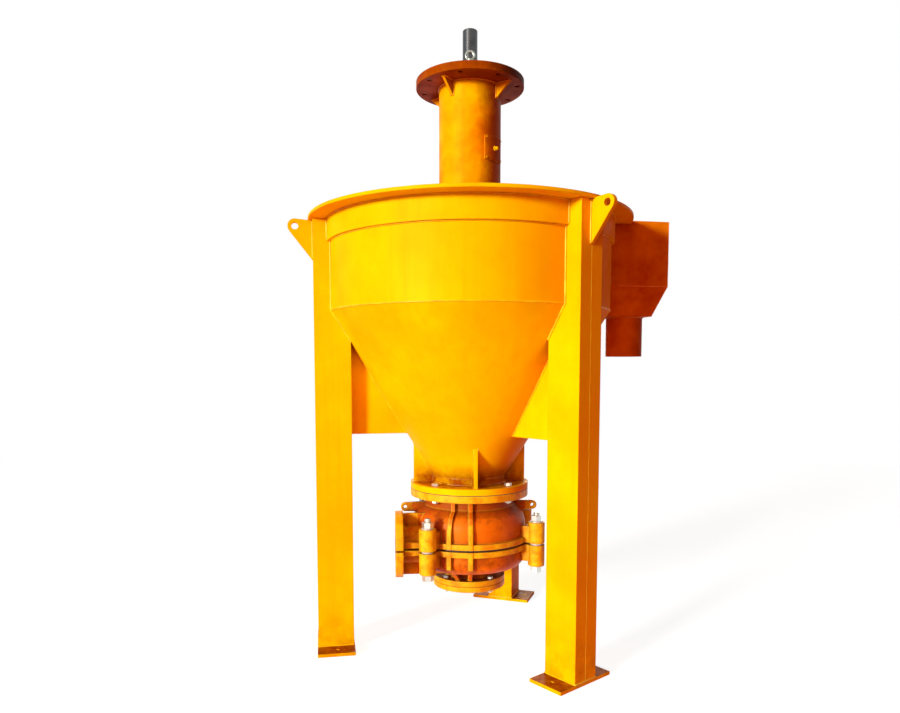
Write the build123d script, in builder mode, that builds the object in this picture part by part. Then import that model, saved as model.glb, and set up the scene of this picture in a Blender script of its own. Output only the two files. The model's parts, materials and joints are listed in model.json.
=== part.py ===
from build123d import *
import math
import os

# Vertical froth and scum pump unit: an open conical tank on three channel legs,
# with a top column that carries the bearings, a long overhung shaft and a
# horizontally split, rubber-lined pump hung under the tank.
# Frame: millimetres, +Z up, origin on the shaft axis at floor level.
# +X points to the overflow box.

os.makedirs("parts", exist_ok=True)

# Tank
shell_radius = 523.0
tank_wall = 8.0
shell_height = 324.0
cone_height = 618.0
neck_radius = 140.0
neck_length = 24.5
rim_overhang = 77.0
rim_thickness = 12.0
edge_chamfer = 1.5
band_thickness = 12.0
band_height = 79.0

# Flange between the tank and the pump
flange_radius = 226.0
tank_flange_thickness = 22.0
gasket_thickness = 2.0
flange_bolt_circle = 190.0
flange_bolt_radius = 8.0
flange_bolt_count = 4
flange_first_bolt = 42.5
bolt_hole_gap = 1.0
fin_stand = 75.0
fin_thickness = 12.0
fin_count = 4
pump_turn = -5.0

# Legs, feet and lifting lugs
leg_angles = {"left_leg": 180.0, "right_leg": 300.0, "rear_leg": 60.0}
leg_stand = 60.0
leg_depth = 132.0
leg_width = 106.0
leg_web = 5.5
leg_flange = 9.0
seam_groove = 3.0
foot_length = 138.0
foot_width = 253.0
foot_thickness = 12.0
anchor_spacing = 190.0
anchor_radius = 9.0
gusset_thickness = 12.0
gusset_drop = 455.0
lug_thickness = 16.0
lug_reach = 63.0
lug_drop = 21.0
lug_tip_radius = 26.0
lug_hole_radius = 12.5
lug_root = 141.0
lug_heel = 2.0

# Overflow box and pipe
box_wall = 6.0
box_stand = 209.0
box_lap = 36.0
box_width = 300.0
box_height = 239.0
chute_height = 108.0
chute_set_back = 32.0
chute_width = 170.0
pipe_set_back = 75.0
pipe_radius = 70.0
pipe_wall = 6.0
pipe_length = 153.0
window_width = 250.0
window_height = 85.0
window_drop = 110.0
window_corner = 10.0

# Cross beams and column
beam_height = 100.0
beam_flange_width = 48.0
beam_web = 5.3
beam_flange = 8.5
beam_spread = 100.0
base_size = 330.0
base_thickness = 20.0
base_corner = 20.0
base_bolt_x = 130.0
base_bolt_radius = 10.0
column_radius = 115.0
column_wall = 8.0
column_length = 476.0
base_gusset_reach = 45.0
base_gusset_height = 70.0
base_gusset_thickness = 10.0
gusset_count = 4
top_flange_radius = 200.0
top_flange_thickness = 28.0
top_bolt_circle = 175.0
top_hole_radius = 9.0
top_hole_count = 8
top_first_hole = 22.5
top_gusset_reach = 61.0
top_gusset_height = 54.0
top_gusset_thickness = 10.0
hatch_angle = -51.7
hatch_height = 86.0
hatch_arc = 46.0
hatch_thickness = 4.0
hatch_rise = 199.0
hatch_lap = 14.0
hatch_screw_radius = 3.0
hatch_knob_radius = 6.0
hatch_knob_length = 16.0
hatch_nut_radius = 9.5
hatch_nut_height = 5.0
eyebolt_angle = -101.7
eyebolt_circle = 184.0
eyebolt_ring = 14.0
eyebolt_bar = 4.5
eyebolt_collar_radius = 13.0
eyebolt_collar_height = 6.0

# Bearing assembly
housing_wall_radius = 95.0
housing_bore = 62.0
housing_collar_radius = 150.0
housing_collar_thickness = 12.0
housing_foot_rise = 37.0
housing_spigot_height = 60.0
housing_bolt_circle = 135.0
housing_bolt_radius = 5.0
housing_bolt_count = 6
bearing_cover_thickness = 12.0
bearing_cover_margin = 20.0
lower_cover_lip = 10.0
cover_bolt_radius = 4.0
cover_bolt_count = 4
cover_first_bolt = 45.0
upper_race_radius = 70.0
upper_race_width = 33.0
upper_roller_radius = 10.0
upper_race_wall = 8.0
lower_race_radius = 85.0
lower_race_width = 39.0
lower_roller_radius = 12.0
lower_race_wall = 10.0
roller_count = 12
roller_gap = 0.03
roller_end_gap = 5.0
cage_gap = 0.3
cage_lap = 2.0
seal_thickness = 10.0
seal_width = 12.0
running_gap = 0.05
upper_cover_drop = 16.0
nipple_radius = 6.0
nipple_tip_radius = 3.2
nipple_foot = 4.0
nipple_tip = 8.0
nipple_taper = 12.0

# Shaft
shaft_end_radius = 27.5
shaft_end_length = 110.0
shaft_end_top = 184.0
shaft_end_chamfer = 2.0
upper_seat_radius = 32.5
middle_radius = 46.0
lower_seat_radius = 40.0
shaft_radius = 38.0
impeller_seat_radius = 30.0
key_width = 16.0
key_length = 90.0
key_depth = 6.0
key_angle = 67.0
locknut_radius = 46.0
locknut_height = 12.0
locknut_slots = 4
locknut_slot_depth = 4.0
locknut_slot_width = 10.0
slinger_radius = 60.0
slinger_height = 12.0

# Pump casing
split_height = 392.0
split_gap = 8.0
upper_half_height = 196.5
pump_flange_thickness = 26.5
casing_neck_radius = 172.0
body_radius = 217.0
body_side_up = 59.0
shoulder_radius = 199.0
shoulder_rise = 110.0
neck_foot_rise = 133.0
body_side_down = 50.0
bowl_foot_radius = 184.0
bowl_depth = 93.0
joint_rim_radius = 230.0
joint_rim_height = 20.0
cavity_radius = 200.0
cavity_rise = 74.0
cavity_depth = 78.0
lower_neck_radius = 98.0
lower_flange_radius = 138.6
lower_flange_thickness = 21.0
lower_neck_height = 41.0
drain_bore = 70.0
bottom_cover_thickness = 21.0
bottom_bolt_circle = 118.0
bottom_bolt_radius = 6.0
bottom_bolt_count = 4
bottom_first_bolt = 36.0
plate_chamfer = 2.0
boss_radius = 31.0
boss_circle = 270.0
boss_height = 78.0
boss_web = 40.0
boss_web_height = 62.0
boss_angles = (27.0, -27.0, 130.0, -130.0)
stud_radius = 12.0
stud_past_nut = 12.0
nut_height = 22.0
washer_thickness = 4.0
spacer_radius = 22.0
rib_angles = (-95.0, -115.0, 95.0, 115.0)
rib_thickness = 16.0
rib_stand = 15.0
ear_reach = 248.0
ear_rise = 125.0
ear_height = 38.0
ear_tip_radius = 17.0
ear_thickness = 14.0
ear_hole_radius = 7.0

# Discharge
discharge_offset = 80.0
discharge_reach = 288.0
discharge_flange_radius = 124.0
discharge_flange_thickness = 28.0
discharge_neck_radius = 72.0
discharge_bolt_circle = 102.0
discharge_hole_radius = 9.0
discharge_hole_count = 4
discharge_first_hole = 45.0
discharge_bore = 50.0
discharge_throat = 44.0
discharge_rib_thickness = 14.0
discharge_rib_inset = 8.0
discharge_joint_width = 96.0
sleeve_length = 74.0
sleeve_wall = 12.0

# Liners and impeller
liner_wall = 14.0
volute_shift = 4.0
throat_opening = 128.0
throat_nose = 26.0
throat_bore = 100.0
impeller_radius = 150.0
shroud_thickness = 14.0
impeller_floor_gap = 8.0
vane_height = 90.0
vane_thickness = 10.0
vane_count = 5
vane_inlet = 54.0
vane_sweep = 62.0
hub_radius = 48.0
hub_height = 120.0
hub_floor = 24.0
bolt_head_share = 1.3
nut_share = 1.6

# Heights, stacked upwards from the casing joint
upper_joint = split_height + split_gap / 2
lower_joint = split_height - split_gap / 2
pump_face = upper_joint + upper_half_height
tank_face = pump_face + gasket_thickness
flange_top = tank_face + tank_flange_thickness
cone_foot = flange_top + neck_length
cone_top = cone_foot + cone_height
rim_under = cone_top + shell_height
rim_top = rim_under + rim_thickness
band_bottom = rim_under - band_height
base_top = rim_under + base_thickness
column_top = base_top + column_length
top_face = column_top + top_flange_thickness
cone_slope = (shell_radius - neck_radius) / cone_height
cone_wall = tank_wall * math.hypot(1, cone_slope)

# Reaches, measured outwards from the shell
rim_radius = shell_radius + rim_overhang
leg_outer = shell_radius + leg_stand
leg_inner = leg_outer - leg_depth
box_reach = shell_radius + box_stand
chute_reach = box_reach - chute_set_back
pipe_centre = chute_reach - pipe_set_back
fin_reach = neck_radius + fin_stand

# Heights in the bearing assembly
collar_top = top_face + housing_collar_thickness
upper_race_top = collar_top - upper_cover_drop
upper_race_bottom = upper_race_top - upper_race_width
housing_foot = base_top + housing_foot_rise
lower_race_bottom = housing_foot + lower_cover_lip
lower_race_top = lower_race_bottom + lower_race_width
shaft_top = top_face + shaft_end_top
lower_cover_bottom = housing_foot - bearing_cover_thickness

# Heights in the pump
shoulder_height = upper_joint + shoulder_rise
neck_foot = upper_joint + neck_foot_rise
pump_flange_under = pump_face - pump_flange_thickness
cavity_top = upper_joint + cavity_rise
cavity_bottom = lower_joint - cavity_depth
bowl_bottom = lower_joint - bowl_depth
lower_flange_top = bowl_bottom - lower_neck_height
lower_face = lower_flange_top - lower_flange_thickness
cover_face = lower_face - bottom_cover_thickness
impeller_bottom = cavity_bottom + liner_wall + impeller_floor_gap
shroud_top = impeller_bottom + shroud_thickness
hub_top = impeller_bottom + hub_height
hub_bore_floor = impeller_bottom + hub_floor


def polar(radius, angle):
    """Return the point at this radius and angle in degrees."""
    return (radius * math.cos(math.radians(angle)), radius * math.sin(math.radians(angle)))


def level_plane(angle, z):
    """Level plane at height z whose x axis points outwards at the angle."""
    return Plane(origin=(0, 0, z), x_dir=(*polar(1, angle), 0), z_dir=(0, 0, 1))


def radial_plane(angle):
    """Upright plane through the shaft axis: x runs outwards, y runs up."""
    return Plane(origin=(0, 0, 0), x_dir=(*polar(1, angle), 0), z_dir=(*polar(1, angle - 90), 0))


def pump_plane(z):
    """Level plane at height z, turned with the pump unit."""
    return level_plane(pump_turn, z)


def wall_plane(angle, radius, z):
    """Plane that faces outwards at this angle, radius and height, with y up."""
    origin = (*polar(radius, angle), z)
    return Plane(origin=origin, x_dir=(*polar(1, angle + 90), 0), z_dir=(*polar(1, angle), 0))


def hexagon_radius(thread_radius):
    """Corner radius of a hexagon that suits a thread of this radius."""
    return thread_radius * 1.5 / math.cos(math.radians(30))


def ring(outer, inner):
    """Draw a ring on the sketch in use."""
    Circle(outer)
    Circle(inner, mode=Mode.SUBTRACT)


# Outside of the welded tank, used to trim the pieces that fit against it
with BuildPart() as tank_outside:
    with BuildSketch(Plane.XZ):
        with BuildLine():
            Polyline(
                (0, tank_face),
                (neck_radius, tank_face),
                (neck_radius, cone_foot),
                (shell_radius, cone_top),
                (shell_radius, band_bottom),
                (shell_radius + band_thickness, band_bottom),
                (shell_radius + band_thickness, rim_under),
                (rim_radius, rim_under),
                (rim_radius, rim_top + rim_thickness),
                (0, rim_top + rim_thickness),
                close=True,
            )
        make_face()
    revolve(axis=Axis.Z)

# Straight shell with the overflow window towards the box
with BuildPart() as tank_shell:
    with BuildSketch(Plane.XY.offset(cone_top)):
        ring(shell_radius, shell_radius - tank_wall)
    extrude(amount=shell_height)
    with BuildSketch(wall_plane(0, shell_radius, rim_under - window_drop)):
        with Locations((0, -window_height / 2)):
            RectangleRounded(window_width, window_height, window_corner)
    extrude(amount=window_width / 2, both=True, mode=Mode.SUBTRACT)
tank_shell.part.label = "tank_shell"
export_step(tank_shell.part, "parts/tank_shell.step")

# Thicker band under the rim
with BuildPart() as rim_band:
    with BuildSketch(Plane.XY.offset(band_bottom)):
        ring(shell_radius + band_thickness, shell_radius)
    extrude(amount=band_height)
rim_band.part.label = "rim_band"
export_step(rim_band.part, "parts/rim_band.step")

# Flat rim plate that overhangs the shell
with BuildPart() as rim_plate:
    with BuildSketch(Plane.XY.offset(rim_under)):
        ring(rim_radius, shell_radius - tank_wall)
    extrude(amount=rim_thickness)
    chamfer(rim_plate.edges().filter_by(GeomType.CIRCLE).group_by(SortBy.RADIUS)[-1], edge_chamfer)
rim_plate.part.label = "rim_plate"
export_step(rim_plate.part, "parts/rim_plate.step")

# Cone with its short neck
with BuildPart() as tank_cone:
    with BuildSketch(Plane.XZ):
        with BuildLine():
            Polyline(
                (neck_radius, tank_face),
                (neck_radius, cone_foot),
                (shell_radius, cone_top),
                (shell_radius - cone_wall, cone_top),
                (neck_radius - tank_wall, cone_foot),
                (neck_radius - tank_wall, tank_face),
                close=True,
            )
        make_face()
    revolve(axis=Axis.Z)
tank_cone.part.label = "tank_cone"
export_step(tank_cone.part, "parts/tank_cone.step")

# Flange welded round the neck
with BuildPart() as tank_flange:
    with BuildSketch(pump_plane(tank_face)):
        ring(flange_radius, neck_radius)
        with PolarLocations(flange_bolt_circle, flange_bolt_count, flange_first_bolt):
            Circle(flange_bolt_radius + bolt_hole_gap, mode=Mode.SUBTRACT)
    extrude(amount=tank_flange_thickness)
tank_flange.part.label = "tank_flange"
export_step(tank_flange.part, "parts/tank_flange.step")

# Four fins between the flange and the cone
with BuildPart() as flange_fins:
    for step in range(fin_count):
        with BuildSketch(radial_plane(pump_turn + 360 / fin_count * step)):
            with BuildLine():
                Polyline(
                    (neck_radius - tank_wall, flange_top),
                    (fin_reach, flange_top),
                    (fin_reach, cone_foot + (fin_reach - neck_radius) / cone_slope),
                    (neck_radius - tank_wall, cone_foot),
                    close=True,
                )
            make_face()
        extrude(amount=fin_thickness / 2, both=True)
    add(tank_outside.part, mode=Mode.SUBTRACT)
flange_fins.part.label = "flange_fins"
export_step(flange_fins.part, "parts/flange_fins.step")

# Legs: two channels welded toe to toe, trimmed to the tank
leg_middle = leg_outer - leg_depth / 2
for leg_name, leg_angle in leg_angles.items():
    with BuildPart() as leg:
        with BuildSketch(level_plane(leg_angle, foot_thickness)):
            with Locations((leg_middle, 0)):
                Rectangle(leg_depth, leg_width)
                Rectangle(leg_depth - 2 * leg_flange, leg_width - 2 * leg_web, mode=Mode.SUBTRACT)
            with Locations((leg_outer, 0), (leg_outer - leg_depth, 0)):
                Rectangle(seam_groove, seam_groove, rotation=45, mode=Mode.SUBTRACT)
        extrude(amount=rim_under - foot_thickness)
        add(tank_outside.part, mode=Mode.SUBTRACT)
    leg.part.label = leg_name
    export_step(leg.part, f"parts/{leg_name}.step")

# Foot plates with anchor holes
with BuildPart() as foot_plates:
    for leg_angle in leg_angles.values():
        with BuildSketch(level_plane(leg_angle, 0)):
            with Locations((leg_middle, 0)):
                Rectangle(foot_length, foot_width)
            with Locations((leg_middle, anchor_spacing / 2), (leg_middle, -anchor_spacing / 2)):
                Circle(anchor_radius, mode=Mode.SUBTRACT)
        extrude(amount=foot_thickness)
foot_plates.part.label = "foot_plates"
export_step(foot_plates.part, "parts/foot_plates.step")

# Triangular plates between the legs and the cone
gusset_bottom = cone_top - gusset_drop
with BuildPart() as leg_gussets:
    for leg_angle in leg_angles.values():
        with BuildSketch(radial_plane(leg_angle)):
            with BuildLine():
                Polyline(
                    (neck_radius, gusset_bottom),
                    (leg_inner, gusset_bottom),
                    (leg_inner, cone_foot + (leg_inner - neck_radius) / cone_slope),
                    close=True,
                )
            make_face()
        extrude(amount=gusset_thickness / 2, both=True)
    add(tank_outside.part, mode=Mode.SUBTRACT)
leg_gussets.part.label = "leg_gussets"
export_step(leg_gussets.part, "parts/leg_gussets.step")

# Lifting lugs on the outer faces of the legs
lug_centre = (leg_outer + lug_reach, rim_under - lug_drop)
with BuildPart() as lifting_lugs:
    for leg_angle in leg_angles.values():
        with BuildSketch(radial_plane(leg_angle)):
            with Locations(lug_centre):
                Circle(lug_tip_radius)
            with Locations((leg_outer + lug_heel / 2, rim_under - lug_root / 2)):
                Rectangle(lug_heel, lug_root)
            make_hull()
            with Locations(lug_centre):
                Circle(lug_hole_radius, mode=Mode.SUBTRACT)
        extrude(amount=lug_thickness / 2, both=True)
    add(tank_outside.part, mode=Mode.SUBTRACT)
lifting_lugs.part.label = "lifting_lugs"
export_step(lifting_lugs.part, "parts/lifting_lugs.step")

# Overflow box with its tapered chute, open at the top and towards the window
box_inner = shell_radius - box_lap
box_bottom = rim_top - box_height
chute_bottom = box_bottom - chute_height


def box_rectangle(reach, width):
    """Draw the box outline between the shell and the reach."""
    with Locations(((box_inner + reach) / 2, 0)):
        Rectangle(reach - box_inner, width)


with BuildPart() as overflow_box:
    with BuildSketch(Plane.XY.offset(box_bottom)):
        box_rectangle(box_reach, box_width)
    extrude(amount=box_height)
    with BuildSketch(Plane.XY.offset(box_bottom)):
        box_rectangle(box_reach, box_width)
    with BuildSketch(Plane.XY.offset(chute_bottom)):
        box_rectangle(chute_reach, chute_width)
    loft()
    with BuildSketch(Plane.XY.offset(box_bottom)):
        box_rectangle(box_reach - box_wall, box_width - 2 * box_wall)
    extrude(amount=box_height, mode=Mode.SUBTRACT)
    with BuildSketch(Plane.XY.offset(box_bottom)):
        box_rectangle(box_reach - box_wall, box_width - 2 * box_wall)
    with BuildSketch(Plane.XY.offset(chute_bottom + box_wall)):
        box_rectangle(chute_reach - box_wall, chute_width - 2 * box_wall)
    loft(mode=Mode.SUBTRACT)
    with BuildSketch(Plane.XY.offset(chute_bottom)):
        with Locations((pipe_centre, 0)):
            Circle(pipe_radius - pipe_wall)
    extrude(amount=chute_height / 2, mode=Mode.SUBTRACT)
    add(tank_outside.part, mode=Mode.SUBTRACT)
overflow_box.part.label = "overflow_box"
export_step(overflow_box.part, "parts/overflow_box.step")

with BuildPart() as overflow_pipe:
    with BuildSketch(Plane.XY.offset(chute_bottom - pipe_length)):
        with Locations((pipe_centre, 0)):
            ring(pipe_radius, pipe_radius - pipe_wall)
    extrude(amount=pipe_length)
overflow_pipe.part.label = "overflow_pipe"
export_step(overflow_pipe.part, "parts/overflow_pipe.step")

# Two channel beams across the mouth of the tank, toes outwards
beam_middle = rim_under - beam_height / 2
base_bolt_y = beam_spread + (beam_flange_width + beam_web) / 2
with BuildPart() as cross_beams:
    for side in (1, -1):
        with BuildSketch(Plane.YZ.offset(-shell_radius)):
            with Locations((side * (beam_spread + beam_flange_width / 2), beam_middle)):
                Rectangle(beam_flange_width, beam_height)
            with Locations((side * (beam_spread + beam_web + beam_flange_width / 2), beam_middle)):
                Rectangle(beam_flange_width, beam_height - 2 * beam_flange, mode=Mode.SUBTRACT)
        extrude(amount=2 * shell_radius)
    with BuildSketch(Plane.XY.offset(rim_under - beam_height)):
        Circle(shell_radius - tank_wall)
    extrude(amount=beam_height, mode=Mode.INTERSECT)
    with BuildSketch(Plane.XY.offset(beam_middle)):
        with GridLocations(2 * base_bolt_x, 2 * base_bolt_y, 2, 2):
            Circle(base_bolt_radius + bolt_hole_gap)
    extrude(amount=beam_height / 2, mode=Mode.SUBTRACT)
cross_beams.part.label = "cross_beams"
export_step(cross_beams.part, "parts/cross_beams.step")

# Base plate of the column
with BuildPart() as column_base:
    with BuildSketch(Plane.XY.offset(rim_under)):
        RectangleRounded(base_size, base_size, base_corner)
        Circle(column_radius - column_wall, mode=Mode.SUBTRACT)
        with GridLocations(2 * base_bolt_x, 2 * base_bolt_y, 2, 2):
            Circle(base_bolt_radius + bolt_hole_gap, mode=Mode.SUBTRACT)
    extrude(amount=base_thickness)
column_base.part.label = "column_base"
export_step(column_base.part, "parts/column_base.step")

with BuildPart() as base_gussets:
    for step in range(gusset_count):
        with BuildSketch(radial_plane(360 / gusset_count * step)):
            with BuildLine():
                Polyline(
                    (column_radius - column_wall / 2, base_top),
                    (column_radius + base_gusset_reach, base_top),
                    (column_radius, base_top + base_gusset_height),
                    (column_radius - column_wall / 2, base_top + base_gusset_height),
                    close=True,
                )
            make_face()
        extrude(amount=base_gusset_thickness / 2, both=True)
    Cylinder(column_radius, 4 * (base_top + base_gusset_height), mode=Mode.SUBTRACT)
base_gussets.part.label = "base_gussets"
export_step(base_gussets.part, "parts/base_gussets.step")

# Bolts and nuts that hold the base plate to the beams
base_nut_height = base_bolt_radius * nut_share
beam_flange_under = rim_under - beam_flange
with BuildPart() as base_bolts:
    with BuildSketch(Plane.XY.offset(base_top)):
        with GridLocations(2 * base_bolt_x, 2 * base_bolt_y, 2, 2):
            RegularPolygon(hexagon_radius(base_bolt_radius), 6)
    extrude(amount=base_bolt_radius * bolt_head_share)
    with BuildSketch(Plane.XY.offset(beam_flange_under - base_nut_height - base_bolt_radius / 2)):
        with GridLocations(2 * base_bolt_x, 2 * base_bolt_y, 2, 2):
            Circle(base_bolt_radius)
    extrude(amount=base_thickness + beam_flange + base_nut_height + base_bolt_radius / 2)
base_bolts.part.label = "base_bolts"
export_step(base_bolts.part, "parts/base_bolts.step")

with BuildPart() as base_nuts:
    with BuildSketch(Plane.XY.offset(beam_flange_under - base_nut_height)):
        with GridLocations(2 * base_bolt_x, 2 * base_bolt_y, 2, 2):
            RegularPolygon(hexagon_radius(base_bolt_radius), 6)
            Circle(base_bolt_radius, mode=Mode.SUBTRACT)
    extrude(amount=base_nut_height)
base_nuts.part.label = "base_nuts"
export_step(base_nuts.part, "parts/base_nuts.step")

# Column tube with a greasing window behind the small cover
hatch_middle = base_top + hatch_rise + hatch_height / 2
hatch_window_width = 2 * column_radius * math.sin(math.radians(hatch_arc / 2)) - 2 * hatch_lap
with BuildPart() as column_tube:
    with BuildSketch(Plane.XY.offset(base_top)):
        ring(column_radius, column_radius - column_wall)
    extrude(amount=column_length)
    with BuildSketch(wall_plane(hatch_angle, column_radius, hatch_middle)):
        RectangleRounded(hatch_window_width, hatch_height - 2 * hatch_lap, hatch_lap / 2)
    extrude(amount=column_wall * 2, both=True, mode=Mode.SUBTRACT)
column_tube.part.label = "column_tube"
export_step(column_tube.part, "parts/column_tube.step")

# Curved cover over the greasing window
with BuildPart() as inspection_cover:
    with BuildSketch(radial_plane(hatch_angle - hatch_arc / 2)):
        with Locations((column_radius + hatch_thickness / 2, hatch_middle)):
            Rectangle(hatch_thickness, hatch_height)
    revolve(axis=Axis.Z, revolution_arc=hatch_arc)
inspection_cover.part.label = "inspection_cover"
export_step(inspection_cover.part, "parts/inspection_cover.step")

# Corner screws and the middle knob of the cover
screw_turn = hatch_arc / 2 - math.degrees(hatch_lap / 2 / column_radius)
screw_rise = hatch_height / 2 - hatch_lap / 2
with BuildPart() as cover_fasteners:
    for turn in (screw_turn, -screw_turn):
        for rise in (screw_rise, -screw_rise):
            head = wall_plane(hatch_angle + turn, column_radius + hatch_thickness, hatch_middle + rise)
            with BuildSketch(head):
                Circle(hatch_screw_radius)
            extrude(amount=hatch_screw_radius)
    with BuildSketch(wall_plane(hatch_angle, column_radius + hatch_thickness, hatch_middle)):
        RegularPolygon(hatch_nut_radius, 6)
    extrude(amount=hatch_nut_height)
    with BuildSketch(wall_plane(hatch_angle, column_radius + hatch_thickness, hatch_middle)):
        Circle(hatch_knob_radius)
    extrude(amount=hatch_knob_length)
cover_fasteners.part.label = "cover_fasteners"
export_step(cover_fasteners.part, "parts/cover_fasteners.step")

# Top flange of the column
with BuildPart() as top_flange:
    with BuildSketch(Plane.XY.offset(column_top)):
        ring(top_flange_radius, column_radius - column_wall)
        with PolarLocations(top_bolt_circle, top_hole_count, top_first_hole):
            Circle(top_hole_radius, mode=Mode.SUBTRACT)
    extrude(amount=top_flange_thickness)
    chamfer(top_flange.edges().filter_by(GeomType.CIRCLE).group_by(SortBy.RADIUS)[-1], edge_chamfer)
top_flange.part.label = "top_flange"
export_step(top_flange.part, "parts/top_flange.step")

with BuildPart() as top_gussets:
    for step in range(gusset_count):
        with BuildSketch(radial_plane(360 / gusset_count * (step + 0.5))):
            with BuildLine():
                Polyline(
                    (column_radius - column_wall / 2, column_top),
                    (column_radius + top_gusset_reach, column_top),
                    (column_radius, column_top - top_gusset_height),
                    (column_radius - column_wall / 2, column_top - top_gusset_height),
                    close=True,
                )
            make_face()
        extrude(amount=top_gusset_thickness / 2, both=True)
    Cylinder(column_radius, 4 * column_top, mode=Mode.SUBTRACT)
top_gussets.part.label = "top_gussets"
export_step(top_gussets.part, "parts/top_gussets.step")

# Eyebolts on the top flange, for lifting the column and rotor
eyebolt_ring_rise = eyebolt_collar_height + eyebolt_ring
with BuildPart() as flange_eyebolts:
    for turn in (0, 180):
        with BuildSketch(level_plane(eyebolt_angle + turn, top_face)):
            with Locations((eyebolt_circle, 0)):
                Circle(eyebolt_collar_radius)
        extrude(amount=eyebolt_collar_height)
        ring_plane = wall_plane(eyebolt_angle + turn, eyebolt_circle, top_face + eyebolt_ring_rise)
        with BuildSketch(Plane(ring_plane.origin, x_dir=ring_plane.x_dir, z_dir=(0, 0, 1))):
            with Locations((eyebolt_ring, 0)):
                Circle(eyebolt_bar)
        revolve(axis=Axis(ring_plane.origin, ring_plane.z_dir))
flange_eyebolts.part.label = "flange_eyebolts"
export_step(flange_eyebolts.part, "parts/flange_eyebolts.step")

# Bearing housing: a cartridge that hangs from the top flange in the column
column_bore = column_radius - column_wall
with BuildPart() as bearing_housing:
    with BuildSketch(Plane.XZ):
        with BuildLine():
            Polyline(
                (upper_race_radius, collar_top),
                (housing_collar_radius, collar_top),
                (housing_collar_radius, top_face),
                (column_bore, top_face),
                (column_bore, column_top - housing_spigot_height / 2),
                (housing_wall_radius, column_top - housing_spigot_height),
                (housing_wall_radius, housing_foot + housing_spigot_height),
                (column_bore, housing_foot + housing_spigot_height / 2),
                (column_bore, housing_foot),
                (lower_race_radius, housing_foot),
                (lower_race_radius, lower_race_top),
                (housing_bore, lower_race_top),
                (housing_bore, upper_race_bottom),
                (upper_race_radius, upper_race_bottom),
                close=True,
            )
        make_face()
    revolve(axis=Axis.Z)
    with BuildSketch(Plane.XY.offset(top_face)):
        with PolarLocations(housing_bolt_circle, housing_bolt_count):
            Circle(housing_bolt_radius)
    extrude(amount=housing_collar_thickness, mode=Mode.SUBTRACT)
bearing_housing.part.label = "bearing_housing"
export_step(bearing_housing.part, "parts/bearing_housing.step")

with BuildPart() as housing_bolts:
    with BuildSketch(Plane.XY.offset(collar_top)):
        with PolarLocations(housing_bolt_circle, housing_bolt_count):
            RegularPolygon(hexagon_radius(housing_bolt_radius), 6)
    extrude(amount=housing_bolt_radius * bolt_head_share)
    with BuildSketch(Plane.XY.offset(top_face)):
        with PolarLocations(housing_bolt_circle, housing_bolt_count):
            Circle(housing_bolt_radius)
    extrude(amount=housing_collar_thickness)
housing_bolts.part.label = "housing_bolts"
export_step(housing_bolts.part, "parts/housing_bolts.step")

# Bearing covers with their seal pockets
upper_cover_top = collar_top + bearing_cover_thickness
upper_cover_radius = upper_race_radius + bearing_cover_margin
with BuildPart() as upper_bearing_cover:
    with BuildSketch(Plane.XZ):
        with BuildLine():
            Polyline(
                (upper_race_radius - upper_race_wall, upper_race_top),
                (upper_race_radius, upper_race_top),
                (upper_race_radius, collar_top),
                (upper_cover_radius, collar_top),
                (upper_cover_radius, upper_cover_top),
                (upper_seat_radius + running_gap + seal_width, upper_cover_top),
                (upper_seat_radius + running_gap + seal_width, upper_cover_top - seal_thickness),
                (upper_race_radius - upper_race_wall, upper_cover_top - seal_thickness),
                close=True,
            )
        make_face()
    revolve(axis=Axis.Z)
upper_bearing_cover.part.label = "upper_bearing_cover"
export_step(upper_bearing_cover.part, "parts/upper_bearing_cover.step")

with BuildPart() as lower_bearing_cover:
    with BuildSketch(Plane.XZ):
        with BuildLine():
            Polyline(
                (lower_seat_radius + running_gap + seal_width, lower_cover_bottom),
                (column_bore, lower_cover_bottom),
                (column_bore, housing_foot),
                (lower_race_radius, housing_foot),
                (lower_race_radius, lower_race_bottom),
                (lower_race_radius - lower_race_wall, lower_race_bottom),
                (lower_race_radius - lower_race_wall, lower_cover_bottom + seal_thickness),
                (lower_seat_radius + running_gap + seal_width, lower_cover_bottom + seal_thickness),
                close=True,
            )
        make_face()
    revolve(axis=Axis.Z)
lower_bearing_cover.part.label = "lower_bearing_cover"
export_step(lower_bearing_cover.part, "parts/lower_bearing_cover.step")

upper_cover_bolts = (upper_cover_radius + upper_race_radius) / 2
lower_cover_bolts = (column_bore + lower_race_radius) / 2
with BuildPart() as bearing_cover_bolts:
    with BuildSketch(Plane.XY.offset(upper_cover_top)):
        with PolarLocations(upper_cover_bolts, cover_bolt_count, cover_first_bolt):
            RegularPolygon(hexagon_radius(cover_bolt_radius), 6)
    extrude(amount=cover_bolt_radius * bolt_head_share)
    with BuildSketch(Plane.XY.offset(lower_cover_bottom)):
        with PolarLocations(lower_cover_bolts, cover_bolt_count, cover_first_bolt):
            RegularPolygon(hexagon_radius(cover_bolt_radius), 6)
    extrude(amount=-cover_bolt_radius * bolt_head_share)
bearing_cover_bolts.part.label = "bearing_cover_bolts"
export_step(bearing_cover_bolts.part, "parts/bearing_cover_bolts.step")

with BuildPart() as shaft_seals:
    with BuildSketch(Plane.XY.offset(upper_cover_top - seal_thickness)):
        ring(upper_seat_radius + running_gap + seal_width, upper_seat_radius + running_gap)
    extrude(amount=seal_thickness)
    with BuildSketch(Plane.XY.offset(lower_cover_bottom)):
        ring(lower_seat_radius + running_gap + seal_width, lower_seat_radius + running_gap)
    extrude(amount=seal_thickness)
shaft_seals.part.label = "shaft_seals"
export_step(shaft_seals.part, "parts/shaft_seals.step")

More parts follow.
